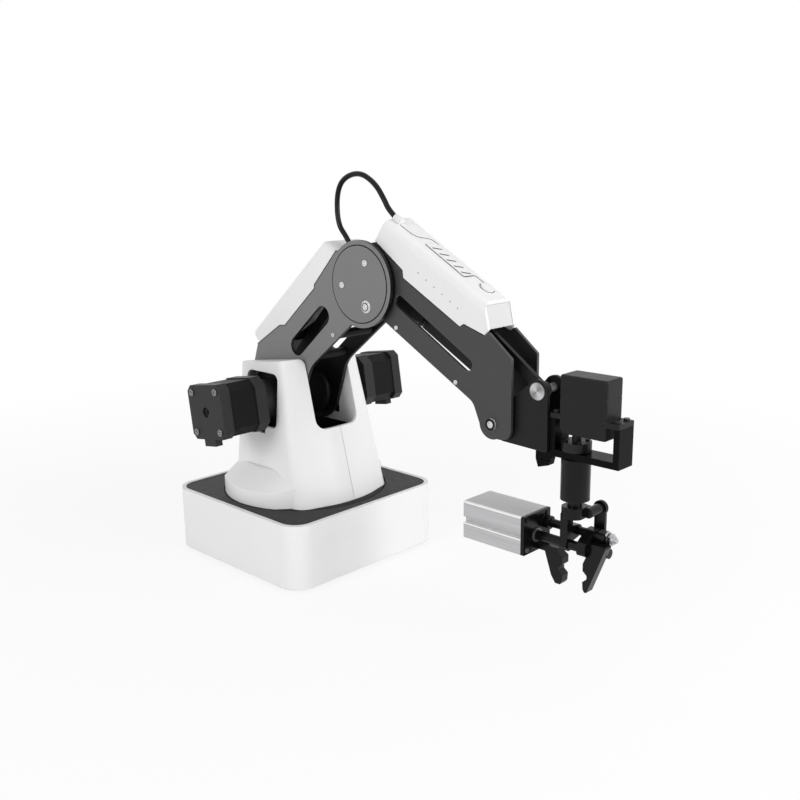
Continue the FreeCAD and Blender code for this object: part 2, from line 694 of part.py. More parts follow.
fall = V(cap_low[0] * fl - hood[0], 0, cap_low[1] - hood[1])
fall_long = fall.Length
fall.normalize()


def on_hood(along, out):
    # Point on the slanted end of the cover, measured down the slant and outwards
    return (hood[0] + fall.x * along - fall.z * out, hood[1] + fall.z * along + fall.x * out)


hood_half = fore_half - 2.6
hood_top = 2.5
window = prism_y([on_hood(hood_top, -3.2), on_hood(hood_top, 1.0), on_hood(fall_long + 1.5, 1.0),
                  on_hood(fall_long + 1.5, -3.2)], -hood_half, hood_half)
skin = skin.cut(window)
skin = skin.cut(side_plate).cut(mirror_y(side_plate))
end_cap = prism_y([on_hood(hood_top + run, -0.4), on_hood(fall_long - 0.2, -0.4), on_hood(fall_long - 0.2, -1.9),
                   on_hood(hood_top + run, -1.9)], -hood_half + run, hood_half - run)


def top_frame(shape):
    # Shapes drawn on the flat top of the forearm cover, X along it and Z off it
    moved = shape.copy()
    moved.rotate(V(0, 0, 0), V(0, 1, 0), -math.degrees(math.atan(slope)))
    moved.translate(V(end_left, 0, left_top))
    return moved


top_long = math.hypot(cap_top[0] * fl - end_left, cap_top[1] - left_top)
press_at = top_long - 13.0
press_y = 3.0
press_radius = 5.0
press_hole = top_frame(rod_z(press_at, press_y, press_radius + 0.12, -8, 4))
inset = 0.7
comb_x1 = press_at - 15.5
comb_x0 = comb_x1 - 41.0 * fl
comb_y0 = -5.5
comb_y1 = 5.5
pocket = top_frame(prism_z(square(comb_x0, comb_x1, comb_y0, comb_y1, 1.5), -inset, 3))
skin = skin.cut(press_hole).cut(pocket)
save("forearm_cover", fore(skin))
save("forearm_end_cap", fore(end_cap))
comb = prism_z(square(comb_x0, comb_x1, comb_y0, comb_y1, 1.5), -inset, 0.3)
for i in range(5):
    x = comb_x0 + (5.0 + i * 7.6) * fl
    comb = comb.cut(prism_z([(x, -3.6), (x + 1.6, -3.6), (x + 4.6, 3.6), (x + 3.0, 3.6)], -0.2, 1))
save("forearm_port_cover", fore(top_frame(comb)))
flange_drop = lower + 1.3
button = fuse([rod_z(press_at, press_y, press_radius, -flange_drop, 1.2),
               rod_z(press_at, press_y, press_radius + 1.0, -flange_drop - 1.3, -flange_drop)])
save("unlock_button", fore(top_frame(button)))
collar = rod_x(cable_y, 1.9, 2.7, 1.0, 8.0).cut(box(0, 12, -20, 20, -5, 0))
collar = collar.cut(rod_x(cable_y, 1.9, cable_radius + 0.1, 0.0, 4.0))
save("forearm_cable_gland", fore(top_frame(collar)))

stands = []
heads = []
for p in ((43.0 * fl, -5.2), (107.3 * fl, 1.5)):
    stands.append(fore(rod_y(p, 2.6, -fore_in, fore_in)))
    heads.append(fore(screw_y(p, 1.6, fore_half, 0.8)))
    heads.append(fore(screw_y(p, 1.6, -fore_half, 0.8)))
pin = fuse([rod_y((fore_length, 0), 4.0, -fore_half, fore_half),
            rod_y((fore_length, 0), 3.5, fore_half, fore_half + 1.7),
            rod_y((fore_length, 0), 3.5, -fore_half - 1.7, -fore_half)])
save("forearm_standoffs", group(stands))
pin = pin.cut(rod_y((fore_length, 0), 1.8, fore_half + 0.8, fore_half + 3))
pin = pin.cut(rod_y((fore_length, 0), 1.8, -fore_half - 3, -fore_half - 0.8))
save("forearm_screws", group(heads + [fore(pin)]))

# Elbow cable, one tube of straight runs joined by tangent arcs
start = (gland_at[0] + gland_lead.x * gland_long, gland_at[1] + gland_lead.z * gland_long)
mouth = V(0.9, 0, 1.9)
mouth = FreeCAD.Rotation(V(0, 1, 0), -math.degrees(math.atan(slope))).multVec(mouth) + V(end_left, 0, left_top)
mouth = FreeCAD.Rotation(V(0, 1, 0), fore_turn).multVec(mouth)
finish = (elbow[0] + mouth.x, elbow[1] + mouth.z)
near = add(start, (gland_lead.x * 16.0, gland_lead.z * 16.0))
way = [start, near, add(elbow, (-37.5, 72.0)), add(elbow, (-13.0, 85.2)), add(elbow, (9.5, 67.5)), finish]


def cable_path(points, y):
    edges = []
    at = V(points[0][0], y, points[0][1])
    for i in range(1, len(points) - 1):
        p = V(points[i][0], y, points[i][1])
        a = V(points[i - 1][0], y, points[i - 1][1]) - p
        b = V(points[i + 1][0], y, points[i + 1][1]) - p
        reach = 0.45 * min(a.Length, b.Length)
        a.normalize()
        b.normalize()
        half_turn = math.acos(max(-1.0, min(1.0, a.dot(b)))) / 2.0
        r = reach * math.tan(half_turn)
        mid = p + (a + b).normalize() * (r / math.sin(half_turn) - r)
        edges.append(Part.makeLine(at, p + a * reach))
        edges.append(Part.Arc(p + a * reach, mid, p + b * reach).toShape())
        at = p + b * reach
    edges.append(Part.makeLine(at, V(points[-1][0], y, points[-1][1])))
    return Part.Wire(edges)


path = cable_path(way, cable_y)
lead = V(way[1][0] - way[0][0], 0, way[1][1] - way[0][1])
circle = Part.Wire(Part.Circle(V(way[0][0], cable_y, way[0][1]), lead, cable_radius).toShape())
save("elbow_cable", path.makePipeShell([circle], True, False))

# Wrist
w_in = wrist_half - wrist_plate


def at_wrist(points):
    out = []
    for p in points:
        out.append((p[0] + wrist[0], p[1] + wrist[1]) + tuple(p[2:]))
    return out


eye = 7.7
side_pts = at_wrist([(level_x + eye, level_z), (level_x + eye + 0.5, -12.9, 1.5), (4.8, -11.5, 4), (-9.0, 0.0),
                     (level_x - eye * 0.75, level_z + eye * 0.6)])
cheek = fuse([prism_y(side_pts, w_in, wrist_half), rod_y(wrist, 10.0, w_in, wrist_half),
              rod_y(wrist_pivot, eye, w_in, wrist_half)])
cheek = cheek.cut(rod_y(wrist, 4.0 + run, w_in - 1, wrist_half + 1))
save("wrist_plates", both(cheek))
pin = rod_y(wrist_pivot, pin_radius, -w_in, w_in)
cap = rod_y(wrist_pivot, 5.8, wrist_half, wrist_half + 0.7)
cap = fuse([cap, Part.makeCone(5.8, 5.2, 0.4, V(wrist_pivot[0], wrist_half + 0.7, wrist_pivot[1]), V(0, 1, 0))])
wrist_steel = [pin, cap, mirror_y(cap)]
bar_low = wrist[1] - 14.9
bar_high = bar_low + 4.5
frame_half = w_in
frame_end = wrist[0] + 93.3
ear_low = wrist[1] + 10.7
ear_high = ear_low + 3.4
frame_start = wrist[0] + level_x + 3.0
lug_start = wrist[0] + level_x - 2.2
lug = prism_y([(lug_start, bar_low + 1.5), (lug_start, bar_low - 4.0), (lug_start + 2.0, bar_low - 9.6, 0.6),
               (lug_start + 10.4, bar_low - 7.0, 0.6), (lug_start + 11.6, bar_low - 2.0), (lug_start + 11.6, bar_low + 1.5)],
              -w_in, -w_in + 6.0)
lug = lug.cut(box(lug_start + 4.0, lug_start + 14.0, -w_in - 1, -w_in + 1.2, bar_low - 4.2, bar_low - 3.2))
lug = fuse([lug, box(lug_start, frame_start + 1.0, -w_in, w_in, bar_low, bar_low + 3.0)])
tool_frame = fuse([lug, box(frame_start, frame_end, -frame_half, frame_half, bar_low, bar_high),
                   box(frame_end - 4.3, frame_end, -frame_half, frame_half, bar_low, ear_low),
                   box(frame_start, wrist[0] + 46.0, -frame_half, frame_half, bar_low, ear_low)])
neck_radius = 5.0
tool_frame = tool_frame.cut(rod_z(tool_x, 0, neck_radius + run, bar_low - 1, bar_high + 1))
save("tool_frame", tool_frame)
servo_x0 = wrist[0] + 49.5
servo_x1 = wrist[0] + 84.2
servo_low = wrist[1] + 1.7
servo_high = wrist[1] + 40.0
servo_half = 9.5
servo = prism_y([(servo_x0 + 5, servo_low), (servo_x1, servo_low, 0.8), (servo_x1, servo_high, 0.8),
                 (servo_x0, servo_high, 0.8), (servo_x0, servo_low + 5)], -servo_half, servo_half)
ears = box(wrist[0] + 42.0, frame_end, -servo_half + 0.5, servo_half - 0.5, ear_low, ear_high)
servo = fuse([servo, ears])
for level_at in (servo_low + 12.2, servo_low + 26.2):
    ringed = box(servo_x0 - 1, servo_x1 + 1, -servo_half - 1, servo_half + 1, level_at, level_at + 0.4)
    core = box(servo_x0 + 0.4, servo_x1 - 0.4, -servo_half + 0.4, servo_half - 0.4, level_at - 1, level_at + 1)
    cut = ringed.cut(core).cut(ears)
    servo = servo.cut(cut)
save("servo_case", servo)
ear_bolts = []
for x in (wrist[0] + 45.0, frame_end - 3.4):
    for y in (-5.0, 5.0):
        ear_bolts.append(rod_z(x, y, 2.0, ear_high, ear_high + 1.5))
save("wrist_fasteners", group(wrist_steel + ear_bolts))

# Tool
horn_high = wrist[1] - 3.9
horn_low = bar_high + gap
sleeve_high = bar_low - gap
sleeve_low = wrist[1] - 42.9
neck_low = wrist[1] - 47.6
horn = fuse([rod_z(tool_x, 0, sleeve_radius + 0.1, horn_low, horn_high), rod_z(tool_x, 0, 3.0, horn_high, servo_low - 0.3),
             rod_z(tool_x, 0, neck_radius, sleeve_high, horn_low)])
heads = []
for i in range(4):
    a = math.radians(45.0 + 90.0 * i)
    heads.append(rod_z(tool_x + 7.0 * math.cos(a), 7.0 * math.sin(a), 1.4, horn_high, horn_high + 1.2))
save("servo_horn", fuse([horn] + heads))
sleeve = fuse([rod_z(tool_x, 0, sleeve_radius, sleeve_low, sleeve_high), rod_z(tool_x, 0, 4.8, neck_low, sleeve_low)])
save("tool_sleeve", sleeve)

rod_z_level = wrist[1] - 75.4
guide_y = 10.0
guide_z = rod_z_level + 7.0
guide_radius = 3.0
block_high = neck_low
hinge = (tool_x + 9.6, neck_low - 3.4)
block_low = neck_low - 7.3
block = prism_z(square(tool_x - 7.5, tool_x + 7.5, -8.0, 8.0, 5.5), block_low, block_high)
leg_x0 = tool_x - 8.6
leg_x1 = tool_x - 3.0
eye_wall = 1.3
leg = fuse([box(leg_x0, leg_x1, -3.4, 3.4, rod_z_level, block_low + 1.0),
            prism_x([(-3.4, rod_z_level), (guide_y, guide_z - guide_radius - eye_wall),
                     (guide_y, guide_z + guide_radius + eye_wall), (-3.4, guide_z + 6.0)], leg_x0, leg_x1),
            rod_x(0, rod_z_level, rod_radius + eye_wall, leg_x0, leg_x1),
            rod_x(guide_y, guide_z, guide_radius + eye_wall, leg_x0, leg_x1)])
leg = leg.cut(rod_x(0, rod_z_level, rod_radius + run, leg_x0 - 1, leg_x1 + 1))
leg = leg.cut(rod_x(guide_y, guide_z, guide_radius + run, leg_x0 - 1, leg_x1 + 1))
arm_bar = box(tool_x + 3.0, hinge[0], 1.0, 8.0, hinge[1] - 3.0, hinge[1] + 3.0)
lever_in = guide_y + 5.0
lever_out = lever_in + 2.5
hanger = fuse([block, leg, arm_bar, rod_y(hinge, 3.5, 1.0, lever_in - 0.1), rod_y(hinge, 2.0, lever_in - 0.1, lever_out + 0.2)])
save("gripper_hanger", hanger)

jaw_half = jaw_gap / 2.0
cyl_x0 = tool_x - 81.5
cyl_x1 = tool_x - 31.8
cyl_half = 15.2
cyl_low = rod_z_level - 11.3
cyl_high = rod_z_level + 16.0
cyl_mid = (cyl_low + cyl_high) / 2.0
block = prism_x([(-cyl_half, cyl_low, 1), (cyl_half, cyl_low, 1), (cyl_half, cyl_high, 1), (-cyl_half, cyl_high, 1)],
                cyl_x0, cyl_x1)
groove = prism_x([(-cyl_half - 1, cyl_mid - 2.2), (-cyl_half + 2.6, cyl_mid - 2.2), (-cyl_half + 2.6, cyl_mid + 2.2),
                  (-cyl_half - 1, cyl_mid + 2.2)], cyl_x0 - 1, cyl_x1 + 1)
piston_bore = 8.0
block = block.cut(groove).cut(mirror_y(groove)).cut(rod_x(0, rod_z_level, piston_bore, cyl_x0 + 4, cyl_x1 + 1))
save("cylinder_body", block)
thin_rod = rod_radius
face_x = cyl_x1 + 2.4
lid = prism_x([(-cyl_half, cyl_low, 1), (cyl_half, cyl_low, 1), (cyl_half, cyl_high, 1), (-cyl_half, cyl_high, 1)],
              cyl_x1, face_x)
lid = fuse([lid, rod_x(0, rod_z_level, rod_radius + 1.7, face_x, face_x + 0.8),
            rod_x(guide_y, guide_z, guide_radius + 1.6, face_x, face_x + 4.5)])
lid = lid.cut(rod_x(0, rod_z_level, thin_rod + run, cyl_x1 - 1, face_x + 2))
guide_end = tool_x + 3.0
lid = lid.fuse(rod_x(guide_y, guide_z, guide_radius, face_x, guide_end))
lid_heads = []
for sy in (-1, 1):
    for sz in (-1, 1):
        lid_heads.append(rod_x(sy * 11.5, cyl_mid + sz * 10.3, 1.6, face_x, face_x + 0.9))
save("cylinder_front_cap", fuse([lid] + lid_heads))

jaw_low = rod_z_level - 30.3
jaw_y = 3.0
jt = jaw_thick / 2.0
in_left = tool_x - jaw_half
in_right = tool_x + jaw_half
tip = jaw_low - rod_z_level
bite = [(0.0, -10.4, 1), (0.0, -15.4, 0.8), (-3.2, -18.2, 1), (-3.2, -20.6, 1), (0.0, -23.2, 0.8), (-0.4, tip + 2.0),
        (-1.6, tip, 0.8)]


def jaw_shape(top, outer, x_in, direction):
    pts = [(x_in + direction * p[0], rod_z_level + p[1]) + tuple(p[2:]) for p in top + bite + outer]
    return prism_y(pts, jaw_y - jt, jaw_y + jt)


foot_high = -rod_radius - eye_wall - 0.6
left = jaw_shape([(-15.0, foot_high), (-3.6, foot_high, 0.8), (-4.0, foot_high - 2.6, 1.5)],
                 [(-5.6, tip, 0.8), (-9.0, tip + 5.0, 3), (-14.4, foot_high - 4.6, 4)], in_left, 1)
left_foot = box(face_x, in_left - 13.0, jaw_y - jt, jaw_y + jt, rod_z_level + foot_high - 4.4, rod_z_level + foot_high)
save("left_jaw", fuse([left, left_foot]))
jaw_travel = 7.6
cross_x0 = leg_x1 + jaw_travel + 0.6
cross_x1 = cross_x0 + 6.5
piston_x = cyl_x0 + 4.6 + 2.0 * jaw_travel
piston = fuse([rod_x(0, rod_z_level, piston_bore - run, piston_x, piston_x + 8.0),
               rod_x(0, rod_z_level, thin_rod, piston_x + 8.0, cross_x0)])
save("piston_rod", piston)
right = jaw_shape([(-17.0, 4.6, 1), (-3.0, 4.6), (-2.8, -4.0, 3)], [(-3.4, tip, 0.8)], in_right, -1)
cross = prism_x([(-4.6, rod_z_level - 4.6, 3), (4.6, rod_z_level - 4.6, 3), (guide_y + 4.5, guide_z - 4.2, 3),
                 (guide_y + 4.5, guide_z + 4.6, 3), (guide_y - 4.0, guide_z + 4.6, 3), (-4.6, rod_z_level + 4.4, 3)],
                cross_x0, cross_x1)
boss_end = tool_x + 19.6
knob_z = guide_z - 9.6
boss = rod_x(guide_y, guide_z, 5.0, cross_x1 - 0.5, boss_end)
nut = fuse([rod_x(guide_y, guide_z, 4.1, boss_end, boss_end + 3.4), rod_x(guide_y, guide_z, 3.0, boss_end + 3.4, boss_end + 5.0),
            rod_x(guide_y, guide_z, 1.8, boss_end + 5.0, boss_end + 6.8)])
knob = rod_x(guide_y - 1.0, knob_z, 3.4, boss_end - 3.0, boss_end + 2.4)
screw_end = rod_x(0, rod_z_level, 2.1, cross_x1, cross_x1 + 1.4)
pin_at = (hinge[0], guide_z)
lever_pin = rod_y(pin_at, 1.5, guide_y + 2.0, lever_out + 0.2)
right = fuse([right, cross, boss, nut, knob, screw_end, lever_pin])
right = right.cut(rod_x(guide_y, guide_z, guide_radius + 0.3, cross_x0 - 1, boss_end - 1.0))
save("right_jaw", right)
lever = strip_y(hinge, (hinge[0], guide_z - 1.0), 5.0, 4.6, lever_in, lever_out)
lever = lever.cut(rod_y(hinge, 2.0 + run, lever_in - 1, lever_out + 1))
lever = lever.cut(slot_y((hinge[0], guide_z + 0.6), (hinge[0], guide_z - 2.4), 2.1, lever_in - 1, lever_out + 1))
save("sync_lever", lever)
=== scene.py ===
import bpy, math
import numpy as np
from mathutils import Matrix, Vector


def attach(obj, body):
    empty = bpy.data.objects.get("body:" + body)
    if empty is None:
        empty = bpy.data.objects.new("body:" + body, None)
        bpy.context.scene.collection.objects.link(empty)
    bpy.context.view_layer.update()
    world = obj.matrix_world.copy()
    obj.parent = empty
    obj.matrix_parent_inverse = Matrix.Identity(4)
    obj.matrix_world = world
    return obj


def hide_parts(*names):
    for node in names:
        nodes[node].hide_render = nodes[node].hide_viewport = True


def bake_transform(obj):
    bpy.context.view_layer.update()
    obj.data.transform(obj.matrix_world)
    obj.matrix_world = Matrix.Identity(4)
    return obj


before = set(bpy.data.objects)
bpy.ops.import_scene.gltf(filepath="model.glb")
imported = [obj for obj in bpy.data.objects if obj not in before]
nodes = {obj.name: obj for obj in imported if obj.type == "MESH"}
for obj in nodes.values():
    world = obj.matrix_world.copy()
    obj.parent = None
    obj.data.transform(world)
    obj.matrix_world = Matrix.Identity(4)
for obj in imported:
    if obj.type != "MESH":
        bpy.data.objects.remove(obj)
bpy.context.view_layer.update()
mm = 0.001
print("stage: frame loaded,", len(nodes), "nodes")

# camera where the photograph was taken, found from the base, motors, elbow and wrist
cameraSet = {"place": (0.6016, -0.5039, 0.3102), "yaw": 44.1, "pitch": 13.3, "roll": 0.7,
             "lens": 43.25, "sensor": 36.0, "near": 0.01, "far": 50.0}


def makeCamera(s):
    # yaw turns the view about the upright axis, pitch drops it and roll turns the picture
    yaw, pitch, roll = (math.radians(s[k]) for k in ("yaw", "pitch", "roll"))
    ahead = Vector((-math.sin(yaw) * math.cos(pitch), math.cos(yaw) * math.cos(pitch), -math.sin(pitch)))
    level = Vector((math.cos(yaw), math.sin(yaw), 0))
    below = ahead.cross(level)
    right = level * math.cos(roll) + below * math.sin(roll)
    down = below * math.cos(roll) - level * math.sin(roll)
    data = bpy.data.cameras.new("photoCamera")
    data.lens, data.sensor_width = s["lens"], s["sensor"]
    data.clip_start, data.clip_end = s["near"], s["far"]
    camera = bpy.data.objects.new("photoCamera", data)
    turn = Matrix((right, -down, -ahead)).transposed()  # columns are right, up and back
    camera.matrix_world = Matrix.Translation(s["place"]) @ turn.to_4x4()
    bpy.context.scene.collection.objects.link(camera)
    bpy.context.scene.camera = camera


makeCamera(cameraSet)
bpy.context.scene.view_settings.view_transform = "Standard"
print("stage: camera")


def startMaterial(name):
    # an empty node tree with one shader on the output
    material = bpy.data.materials.new(name)
    material.use_nodes = True
    tree = material.node_tree
    tree.nodes.clear()
    out = tree.nodes.new("ShaderNodeOutputMaterial")
    shader = tree.nodes.new("ShaderNodeBsdfPrincipled")
    tree.links.new(shader.outputs["BSDF"], out.inputs["Surface"])
    return material, tree, shader


def addNoise(tree, size, stretch=(1, 1, 1), detail=3.0):
    # noise on Object coordinates with patches of about the given size in metres
    place = tree.nodes.new("ShaderNodeTexCoord")
    scale = tree.nodes.new("ShaderNodeMapping")
    scale.inputs["Scale"].default_value = stretch
    noise = tree.nodes.new("ShaderNodeTexNoise")
    noise.inputs["Scale"].default_value = 1.0 / size
    noise.inputs["Detail"].default_value = detail
    tree.links.new(place.outputs["Object"], scale.inputs["Vector"])
    tree.links.new(scale.outputs["Vector"], noise.inputs["Vector"])
    return noise.outputs["Fac"]


def addRange(tree, source, low, high, fromLow=0.3, fromHigh=0.7):
    # a straight ramp from low to high while the source goes from fromLow to fromHigh
    node = tree.nodes.new("ShaderNodeMapRange")
    node.inputs["From Min"].default_value, node.inputs["From Max"].default_value = fromLow, fromHigh
    node.inputs["To Min"].default_value, node.inputs["To Max"].default_value = low, high
    tree.links.new(source, node.inputs["Value"])
    return node.outputs["Result"]


def addMix(tree, factor, first, second):
    # first colour where the factor is 0, second where it is 1
    node = tree.nodes.new("ShaderNodeMix")
    node.data_type = "RGBA"
    tree.links.new(factor, node.inputs["Factor"])
    for socket, value in ((node.inputs[6], first), (node.inputs[7], second)):
        if isinstance(value, (tuple, list)):
            socket.default_value = (*value[:3], 1.0)
        else:
            tree.links.new(value, socket)
    return node.outputs[2]


# what every finish starts from, sizes in metres
finishBase = {"drift": 0.04, "patch": 0.03, "streak": (1, 1, 1), "smear": 0.006, "stretch": (1, 1, 1),
              "roughDrift": 0.04, "grainDetail": 2.0, "bump": 0.1, "depth": 0.0001, "edge": 0.0004,
              "edgeSamples": 4, "wearAndHighlightSpan": (0.80, 0.97), "metal": 0.0, "spec": 0.5}


def finish(name, own):
    # colour drifts by a slow noise, roughness by a medium one, bump by a fine one, and a soft edge catches light
    s = {**finishBase, **own}
    material, tree, shader = startMaterial(name)
    tone = s["colour"]
    slow = addRange(tree, addNoise(tree, s["patch"], s["streak"]), 0.0, 1.0)
    darker = tuple(c * (1.0 - s["drift"]) for c in tone)
    colour = addMix(tree, slow, tone, darker)
    medium = addNoise(tree, s["smear"], s["stretch"])
    rough = addRange(tree, medium, s["rough"] - s["roughDrift"], s["rough"] + s["roughDrift"])
    fine = addNoise(tree, s["grain"], s["stretch"], s["grainDetail"])
    edge = tree.nodes.new("ShaderNodeBevel")
    edge.samples = s["edgeSamples"]
    edge.inputs["Radius"].default_value = s["edge"]
    bump = tree.nodes.new("ShaderNodeBump")
    bump.inputs["Strength"].default_value = s["bump"]
    bump.inputs["Distance"].default_value = s["depth"]
    tree.links.new(fine, bump.inputs["Height"])
    tree.links.new(edge.outputs["Normal"], bump.inputs["Normal"])
    if "edgeWearAndHighlight" in s:
        # the rounded normal leaves the flat one near an edge, and a lighter tint goes there, partly edge wear and
        # partly a painted highlight
        flat = tree.nodes.new("ShaderNodeNewGeometry")
        dot = tree.nodes.new("ShaderNodeVectorMath")
        dot.operation = "DOT_PRODUCT"
        tree.links.new(edge.outputs["Normal"], dot.inputs[0])
        tree.links.new(flat.outputs["Normal"], dot.inputs[1])
        wearAndHighlight = addRange(tree, dot.outputs["Value"], 1.0, 0.0, *s["wearAndHighlightSpan"])
        colour = addMix(tree, wearAndHighlight, colour, s["edgeWearAndHighlight"])
    tree.links.new(colour, shader.inputs["Base Color"])
    tree.links.new(rough, shader.inputs["Roughness"])
    tree.links.new(bump.outputs["Normal"], shader.inputs["Normal"])
    shader.inputs["Metallic"].default_value = s["metal"]
    shader.inputs["Specular IOR Level"].default_value = s["spec"]
    return material


finishSet = {
    "whiteMoulding": {"colour": (0.84, 0.84, 0.84), "rough": 0.38, "grain": 0.0006, "bump": 0.05,
                      "drift": 0.015, "edge": 0.0008, "spec": 0.4},
    "darkDeckCoat": {"colour": (0.016, 0.016, 0.0165), "rough": 0.5, "grain": 0.0005, "bump": 0.25,
                     "drift": 0.08, "spec": 0.2},
    "greyAnodised": {"colour": (0.195, 0.195, 0.198), "rough": 0.46, "grain": 0.0004, "bump": 0.12,
                     # the edge tints below are partly edge wear and partly a painted highlight on each edge
                     "drift": 0.05, "metal": 0.1, "spec": 0.35, "edgeWearAndHighlight": (0.36, 0.36, 0.36)},
    "graphiteAnodised": {"colour": (0.050, 0.050, 0.051), "rough": 0.42, "grain": 0.0004, "bump": 0.12,
                         "drift": 0.06, "metal": 0.1, "spec": 0.35, "edgeWearAndHighlight": (0.14, 0.14, 0.14)},
    "blackAnodised": {"colour": (0.011, 0.011, 0.0113), "rough": 0.4, "grain": 0.0004, "bump": 0.12,
                      "drift": 0.06, "spec": 0.16, "edgeWearAndHighlight": (0.07, 0.07, 0.07)},
    "toolBlack": {"colour": (0.0035, 0.0035, 0.0037), "rough": 0.24, "grain": 0.0004, "bump": 0.05,
                  "drift": 0.08, "spec": 0.2, "edgeWearAndHighlight": (0.035, 0.035, 0.035)},
    "frameBlack": {"colour": (0.004, 0.004, 0.0042), "rough": 0.3, "grain": 0.0004, "bump": 0.06,
                   "drift": 0.08, "spec": 0.05, "edgeWearAndHighlight": (0.03, 0.03, 0.03)},
    # painted shade: the end cap's white is painted darker than the other mouldings, for the shade on its face
    "shadedWhiteEnd": {"colour": (0.66, 0.66, 0.66), "rough": 0.4, "grain": 0.0006, "bump": 0.05,
                 "drift": 0.015, "edge": 0.0008, "spec": 0.35},
    "jawBlack": {"colour": (0.0035, 0.0035, 0.0037), "rough": 0.26, "grain": 0.004, "bump": 0.004,
                 "drift": 0.08, "spec": 0.2, "edge": 0.00012},
    "whiteCollar": {"colour": (0.80, 0.80, 0.80), "rough": 0.42, "grain": 0.0006, "bump": 0.03,
                    "drift": 0.015, "edge": 0.0001, "spec": 0.3},
    "blackMoulding": {"colour": (0.008, 0.008, 0.0085), "rough": 0.42, "grain": 0.0005, "bump": 0.15,
                      "drift": 0.1, "spec": 0.25},
    "deepBlack": {"colour": (0.004, 0.004, 0.004), "rough": 0.5, "grain": 0.0005, "drift": 0.1, "spec": 0.15},
    "motorCast": {"colour": (0.024, 0.024, 0.0244), "rough": 0.44, "grain": 0.0007, "bump": 0.22,
                  "drift": 0.1, "spec": 0.18, "edgeWearAndHighlight": (0.05, 0.05, 0.05)},
    "servoMoulding": {"colour": (0.014, 0.014, 0.0144), "rough": 0.38, "grain": 0.0006, "bump": 0.16,
                      "drift": 0.06, "edge": 0.0011, "spec": 0.14, "edgeWearAndHighlight": (0.03, 0.03, 0.03)},
    "brushedSilver": {"colour": (0.53, 0.53, 0.54), "rough": 0.40, "grain": 0.0004, "bump": 0.2,
                      "drift": 0.16, "metal": 0.25, "patch": 0.0016, "streak": (0.03, 1, 1),
                      "stretch": (0.04, 1, 1)},
    "screwSteel": {"colour": (0.74, 0.74, 0.75), "rough": 0.3, "grain": 0.0005, "bump": 0.06,
                   "drift": 0.06, "metal": 0.55, "edge": 0.0006},
    "brightSteel": {"colour": (0.60, 0.60, 0.61), "rough": 0.26, "grain": 0.0005, "bump": 0.08,
                    "drift": 0.08, "metal": 0.9},
    "screwBlack": {"colour": (0.012, 0.012, 0.012), "rough": 0.32, "grain": 0.0004, "drift": 0.1,
                   "spec": 0.3, "edgeWearAndHighlight": (0.12, 0.12, 0.12)},
    # painted highlight: the motor screws' bright edge tint stands for the glint on their heads
    "motorScrew": {"colour": (0.20, 0.20, 0.205), "rough": 0.28, "grain": 0.0005, "bump": 0.04,
                   "drift": 0.1, "metal": 0.8, "edge": 0.0003, "edgeWearAndHighlight": (0.55, 0.55, 0.55)},
    "footRubber": {"colour": (0.02, 0.02, 0.02), "rough": 0.8, "grain": 0.0008, "bump": 0.4, "drift": 0.15},
    "cableSkin": {"colour": (0.004, 0.004, 0.0042), "rough": 0.3, "grain": 0.0007, "bump": 0.04,
                  "drift": 0.15, "spec": 0.2},
    "boardGreen": {"colour": (0.02, 0.12, 0.06), "rough": 0.4, "grain": 0.0009, "bump": 0.2, "drift": 0.3},
    "plainSteel": {"colour": (0.45, 0.45, 0.46), "rough": 0.35, "grain": 0.0005, "drift": 0.06, "metal": 1.0},
    # painted shade: deepLine is a near-black strip for the arm borders and the rings round the discs, bolts and
    # pins
    "deepLine": {"colour": (0.010, 0.010, 0.010), "rough": 0.6, "grain": 0.0006, "drift": 0.1, "spec": 0.1},
    "shadowLine": {"colour": (0.10, 0.10, 0.10), "rough": 0.7, "grain": 0.0006, "drift": 0.1, "spec": 0.1},
    "markGrey": {"colour": (0.30, 0.30, 0.31), "rough": 0.5, "grain": 0.0006, "drift": 0.1},
}
finishes = {name: finish(name, s) for name, s in finishSet.items()}

# motor stacks, where a wave scale of waveTurn over the sheet gives one band for each sheet
stackSet = {"sheet": 0.0011, "waveTurn": 0.314, "low": (0.004, 0.004, 0.004), "high": (0.008, 0.008, 0.0083),
            "bump": 0.12, "depth": 0.0002, "smear": 0.004, "rough": (0.42, 0.55), "spec": 0.1}


def laminatedSteel(name, s):
    # dark sheets stacked along Y: a wave on that axis gives fine lines in bump and colour
    material, tree, shader = startMaterial(name)
    place = tree.nodes.new("ShaderNodeTexCoord")
    wave = tree.nodes.new("ShaderNodeTexWave")
    wave.bands_direction = "Y"
    wave.inputs["Scale"].default_value = s["waveTurn"] / s["sheet"]
    wave.inputs["Distortion"].default_value = 0.0
    tree.links.new(place.outputs["Object"], wave.inputs["Vector"])
    colour = addMix(tree, wave.outputs["Fac"], s["low"], s["high"])
    bump = tree.nodes.new("ShaderNodeBump")
    bump.inputs["Strength"].default_value = s["bump"]
    bump.inputs["Distance"].default_value = s["depth"]
    tree.links.new(wave.outputs["Fac"], bump.inputs["Height"])
    tree.links.new(colour, shader.inputs["Base Color"])
    tree.links.new(bump.outputs["Normal"], shader.inputs["Normal"])
    tree.links.new(addRange(tree, addNoise(tree, s["smear"]), *s["rough"]), shader.inputs["Roughness"])
    shader.inputs["Specular IOR Level"].default_value = s["spec"]
    return material


finishes["laminatedSteel"] = laminatedSteel("laminatedSteel", stackSet)


def addAxis(tree, direction):
    # distance of a point along one direction, from Object coordinates
    place = tree.nodes.new("ShaderNodeTexCoord")
    dot = tree.nodes.new("ShaderNodeVectorMath")
    dot.operation = "DOT_PRODUCT"
    dot.inputs[1].default_value = direction
    tree.links.new(place.outputs["Object"], dot.inputs[0])
    return dot.outputs["Value"]


